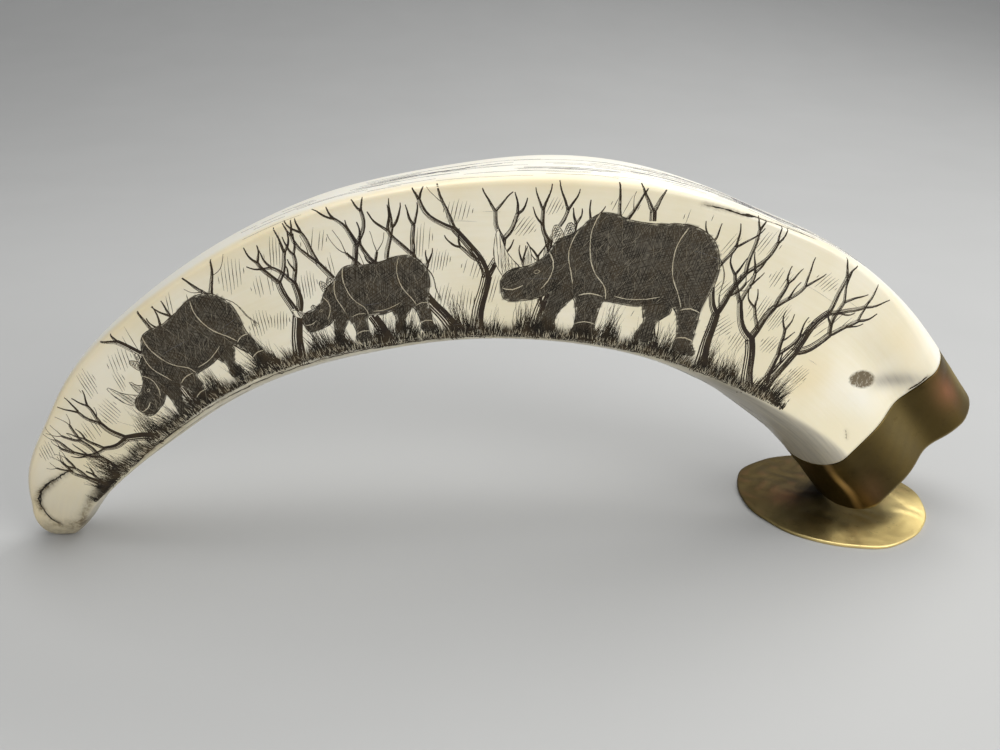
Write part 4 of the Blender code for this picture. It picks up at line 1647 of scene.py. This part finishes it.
@dataclass
class BrassCap:
    """The sheet brass cup on the butt: the tusk's own run carried on, with a folded, worn edge, painted
    highlights and painted shade.
    """

    bow: Bow
    shift: Array
    length: float = 22.3
    gap: float = 0.3
    wall: float = 0.9
    edge: float = 1.6
    lip: float = 0.25
    columns: int = 236
    dent: float = 0.06

    def build(self) -> bpy.types.Object:
        """Makes the cup from its floor inside, over the rounded rim, to the rounded end outside.

        Returns:
            The dressed piece.
        """
        end = self.bow.length
        rim = end - self.length + self.gap
        roll = np.linspace(0, np.pi, 9)
        turn = np.linspace(0, np.pi / 2, 12)
        inner = np.linspace(end - self.wall, rim + self.lip, 8)[:-1]
        lip = rim + self.lip * (1 - np.sin(roll))
        sleeve = np.linspace(rim + self.lip, end - self.edge, 84)[1:-1]
        edge = end - self.edge * (1 - np.sin(turn))
        run = np.r_[inner, lip, sleeve, edge]
        inset = np.r_[
            np.full(len(inner), self.wall),
            self.wall * (1 + np.cos(roll)) / 2,
            np.zeros(len(sleeve)),
            self.edge * (1 - np.cos(turn)),
        ]
        rings = evened(self.bow.sleeve(run, inset), self.columns)
        outside = np.r_[np.zeros(len(inner) + len(lip)), np.ones(len(sleeve) + len(edge))]
        normal = Tusk.facing(rings)
        share = np.arange(self.columns) / self.columns
        wave = np.sin(run[:, None] * 0.9 + 9 * share * 2 * np.pi)
        wave = wave * np.sin(run[:, None] * 0.37 + 4 * share * 2 * np.pi)
        fade = outside * rise(run, rim + 1, rim + 5) * rise(run, end - self.edge, end - self.edge - 3)
        rings = rings - normal * (self.dent * (0.5 + 0.5 * wave) * fade[:, None])[..., None]
        rings = rings + self.shift
        piece = sheath("cap_of_sheet_brass", rings, rings[0].mean(0), rings[-1].mean(0))
        along = run[:, None] - rim
        # Painted highlights: a faint sheen on the middle of the face and a brighter patch on the upper
        # rounding; the end's outer edge is worn bright.
        wear_and_highlight = 0.08 * blot(share, along, (0.505, 7.0), (0.035, 14.0))
        wear_and_highlight = wear_and_highlight + 0.30 * blot(share, along, (0.70, 10.0), (0.03, 12.0))
        wear_and_highlight = wear_and_highlight + (0.18 * rise(run, end - 1.8, end - 0.7) * outside)[:, None]
        # A thin painted highlight in copper runs along the lower rounded corner.
        bent = share - 0.331 + 0.003 * np.sin(along * 0.35)
        streak = rise(np.abs(bent), 0.013, 0.001) * (0.35 + 0.65 * np.exp(-(((along - 8.5) / 5) ** 2)))
        wear_and_highlight = wear_and_highlight + 0.42 * streak
        # Painted shade: darker along the lower edge and under the cap, and in a narrow band on the upper
        # face.
        shade_and_soot = 0.75 * rise(np.abs(share - 0.37), 0.10, 0.03)
        shade_and_soot = shade_and_soot + 0.45 * rise(np.abs(share - 0.575), 0.05, 0.01)
        shade_and_soot = shade_and_soot + 0.4 * rise(share, 0.27, 0.2) + 0 * along
        # A coppery patch and a brownish tint of the metal, plus the painted copper highlight.
        coppery = 0.85 * blot(share, along, (0.632, 8.0), (0.028, 6.0)) + 0.9 * streak
        coppery = coppery + 0.15 * blot(share, along, (0.37, 16.0), (0.03, 6.0))
        for name, values in (("wear_and_highlight", wear_and_highlight), ("coppery", coppery), ("shade_and_soot", shade_and_soot)):
            add_attribute(piece, name, np.concatenate([values.ravel(), [0.0, 0.4]]))
        piece.data.materials.append(BrassFinish("old brass of the cap").make())
        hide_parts("brass_cap")
        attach(piece, "root")
        return piece


@dataclass
class BrassFoot:
    """The hand cut disc under the cap: crowned, hammered, with a painted highlight along its front edge and
    painted shade round the cap.
    """

    low: Array
    shift: Array
    radius: float = 29.1
    rim: float = 1.1
    crown: float = 2.11
    outward: float = 4.0
    power: float = 2.2
    waves: tuple[tuple[int, float, float], ...] = (
        (3, 0.35, 0.4),
        (5, 0.22, 2.1),
        (8, 0.16, 0.9),
        (13, 0.10, 1.7),
    )
    segments: int = 288
    edge: float = 0.35
    hammer: float = 0.09

    def build(self) -> bpy.types.Object:
        """Makes the disc: rings of a wavy circle, the height falling with a power of the distance.

        Returns:
            The dressed piece.
        """
        turn = np.arange(self.segments) / self.segments * 2 * np.pi
        radius = self.radius + sum(size * np.sin(count * turn + phase) for count, size, phase in self.waves)
        share = np.sqrt(np.linspace(0.0008, (1 - self.edge / self.radius) ** 2, 84))
        fall = self.rim + (self.crown - self.rim) * (1 - share**self.power)
        bend = np.linspace(0, np.pi / 2, 7)[1:]
        edge_share = 1 - self.edge * (1 - np.sin(bend)) / self.radius
        edge_fall = self.rim - self.edge * (1 - np.cos(bend))
        under = np.array([1 - 0.6 * self.edge / self.radius, 1 - 1.4 * self.edge / self.radius, 0.5, 0.05])
        shares = np.r_[share, edge_share, 1.0, under]
        falls = np.r_[fall, edge_fall, 0.4, 0.12, 0.0, 0.0, 0.0]
        x = self.low[0] + self.outward + shares[:, None] * radius * np.cos(turn)
        y = shares[:, None] * radius * np.sin(turn)
        beat = np.sin(0.61 * x + 1.1 * np.sin(0.47 * y)) * np.sin(0.57 * y + 1.3 * np.sin(0.39 * x + 1.0))
        soft = rise(np.arange(len(shares)), 0, 6) * (np.arange(len(shares)) < len(share))
        soft = soft * rise(shares, 1.0, 0.90)
        z = falls[:, None] + self.hammer * (beat * soft[:, None] - 1)
        rings = np.stack([x, y, z + 0 * x], 2) + self.shift
        rings[..., 2] = np.maximum(rings[..., 2], 0.0)
        top = np.array([self.low[0] + self.outward, 0.0, self.crown - self.hammer]) + self.shift
        base = np.array([self.low[0] + self.outward, 0.0, 0.0]) + self.shift
        piece = sheath("foot_disc", rings, top, base)
        # Painted highlight: a bright band along the front rim, the front half lighter, and a thin bright
        # edge that is strongest at the front.
        ahead = np.cos(turn - np.radians(-68))
        wear_and_highlight = 0.95 * rise(shares, 0.58, 0.96)[:, None] * rise(ahead, 0.35, 0.92)
        edge_highlight = (0.2 * rise(shares, 0.98, 0.995))[:, None] * (0.5 + 0.5 * ahead)
        wear_and_highlight = wear_and_highlight + 0.34 * rise(ahead, -0.4, 0.8) + edge_highlight
        # Painted shade: a painted contact shadow with some soot round where the cap stands, and the back
        # half darker.
        away = np.hypot(x - self.low[0] + 1, y + 1)
        shade_and_soot = 0.9 * np.exp(-((away / 13) ** 2)) + 0.25 * rise(ahead, 0.3, -0.6)
        stain = np.hypot(x - self.low[0] + 11, y + 2)
        coppery = 0.30 * np.exp(-((stain / 5) ** 2)) + 0.10 * rise(beat, 0.2, 0.8)
        for name, values in (("wear_and_highlight", np.clip(wear_and_highlight, 0, 1)), ("coppery", coppery), ("shade_and_soot", shade_and_soot)):
            add_attribute(piece, name, np.concatenate([values.ravel(), [0.0, 0.0]]))
        brass = BrassFinish("old brass of the foot", roughness=0.30, dents=0.00035)
        piece.data.materials.append(brass.make())
        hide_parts("brass_foot")
        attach(piece, "root")
        return piece


@dataclass(frozen=True)
class Studio:
    """Pale floor, soft lights, and the camera at the photograph's viewing angle."""

    camera_at: tuple[float, float, float] = (-0.02204, -0.21995, 0.1360)
    yaw: float = 4.65
    pitch: float = 21.86
    lens: float = 28.8
    floor_tone: tuple[float, float, float] = (0.46, 0.46, 0.45)
    sky: tuple[float, float, float] = (0.80, 0.81, 0.83)
    sky_strength: float = 0.60

    # name, place and target in metres, width and height in metres, watts
    LIGHTS = (
        ("overhead softbox", (0.10, 0.15, 1.3), (0.0, 0.0, 0.05), (1.0, 0.8), 9.0),
        ("front softbox", (0.75, -0.70, 0.55), (0.05, 0.0, 0.05), (0.6, 0.45), 7.5),
        ("back strip", (0.80, 0.95, 1.30), (0.13, 0.0, 0.0), (0.8, 0.45), 9.0),
    )

    def build(self) -> None:
        """Lays the floor, hangs the lights and stands the camera."""
        self.floor()
        for name, at, towards, size, watts in self.LIGHTS:
            self.light(name, at, towards, size, watts)
        world = bpy.data.worlds.new("studio air")
        world.use_nodes = True
        world.node_tree.nodes["Background"].inputs["Color"].default_value = (*self.sky, 1)
        world.node_tree.nodes["Background"].inputs["Strength"].default_value = self.sky_strength
        bpy.context.scene.world = world
        camera = bpy.data.objects.new("camera", bpy.data.cameras.new("camera"))
        bpy.context.scene.collection.objects.link(camera)
        camera.data.lens = self.lens
        camera.data.sensor_width = 36.0
        camera.data.clip_start = 0.005
        yawed = Matrix.Rotation(np.radians(-self.yaw), 4, "Z")
        turn = yawed @ Matrix.Rotation(np.radians(90 - self.pitch), 4, "X")
        camera.matrix_world = Matrix.Translation(self.camera_at) @ turn
        bpy.context.scene.camera = camera
        bpy.context.scene.view_settings.view_transform = "Standard"

    def floor(self) -> None:
        """A wide pale sheet at the table's height that bends up far behind the object, faintly mottled."""
        wide, near, far, bend, tall = 30000.0, -30000.0, 500.0, 3200.0, 5200.0
        turn = np.linspace(0, np.pi / 2, 24)
        depth = np.r_[near, far + bend * np.sin(turn), far + bend]
        height = np.r_[0.0, bend * (1 - np.cos(turn)), tall]
        sides = [np.stack([np.full(len(depth), x), depth, height], 1) for x in (-wide, wide)]
        i = np.arange(len(depth) - 1)
        quads = np.stack([i, i + len(depth), i + 1 + len(depth), i + 1], 1)
        plane = make_mesh("floor", np.concatenate(sides), quads.ravel(), np.full(len(quads), 4))
        g = Graph("pale table")
        tone = tuple(0.93 * part for part in self.floor_tone)
        colour = g.mix(self.floor_tone, tone, g.noise(g.place(), 9.0, 5.0))
        plane.data.materials.append(g.shade(Base_Color=colour, Roughness=0.7, Specular_IOR_Level=0.25))

    @staticmethod
    def light(
        name: str,
        at: tuple[float, float, float],
        towards: tuple[float, float, float],
        size: tuple[float, float],
        watts: float,
    ) -> None:
        """Hangs one soft rectangular light.

        Args:
            name: What the light is.
            at: Its place in metres.
            towards: The place that it faces.
            size: Its width and height in metres.
            watts: Its power.
        """
        lamp = bpy.data.lights.new(name, "AREA")
        lamp.shape = "RECTANGLE"
        lamp.size, lamp.size_y = size
        lamp.energy = watts
        made = bpy.data.objects.new(name, lamp)
        made.location = at
        made.rotation_euler = (Vector(at) - Vector(towards)).to_track_quat("Z", "Y").to_euler()
        bpy.context.scene.collection.objects.link(made)


def report(piece: bpy.types.Object) -> None:
    """Logs a piece's name and how many triangles it has."""
    piece.data.calc_loop_triangles()
    LOG.info("%s: %d triangles", piece.name, len(piece.data.loop_triangles))


def main() -> None:
    """Builds the pieces in order, then the studio."""
    logging.basicConfig(level=logging.INFO, format="%(message)s", stream=sys.stdout)
    bow = Bow(STATIONS)
    tusk = Tusk(bow, grooves=GROOVES)
    LOG.info("shift %s", tusk.shift.round(3))
    engraving = Engraving(tusk)
    report(tusk.build(engraving.washed()))
    for piece in engraving.build():
        report(piece)
    report(Scratches(tusk).build())
    report(BrassCap(bow, tusk.shift).build())
    sleeve = np.linspace(bow.length - BrassCap.length, bow.length - BrassCap.edge, 60)
    cap = bow.sleeve(sleeve).reshape(-1, 3)
    report(BrassFoot(cap[cap[:, 2].argmin()], tusk.shift).build())
    Studio().build()


if __name__ == "__main__":
    main()
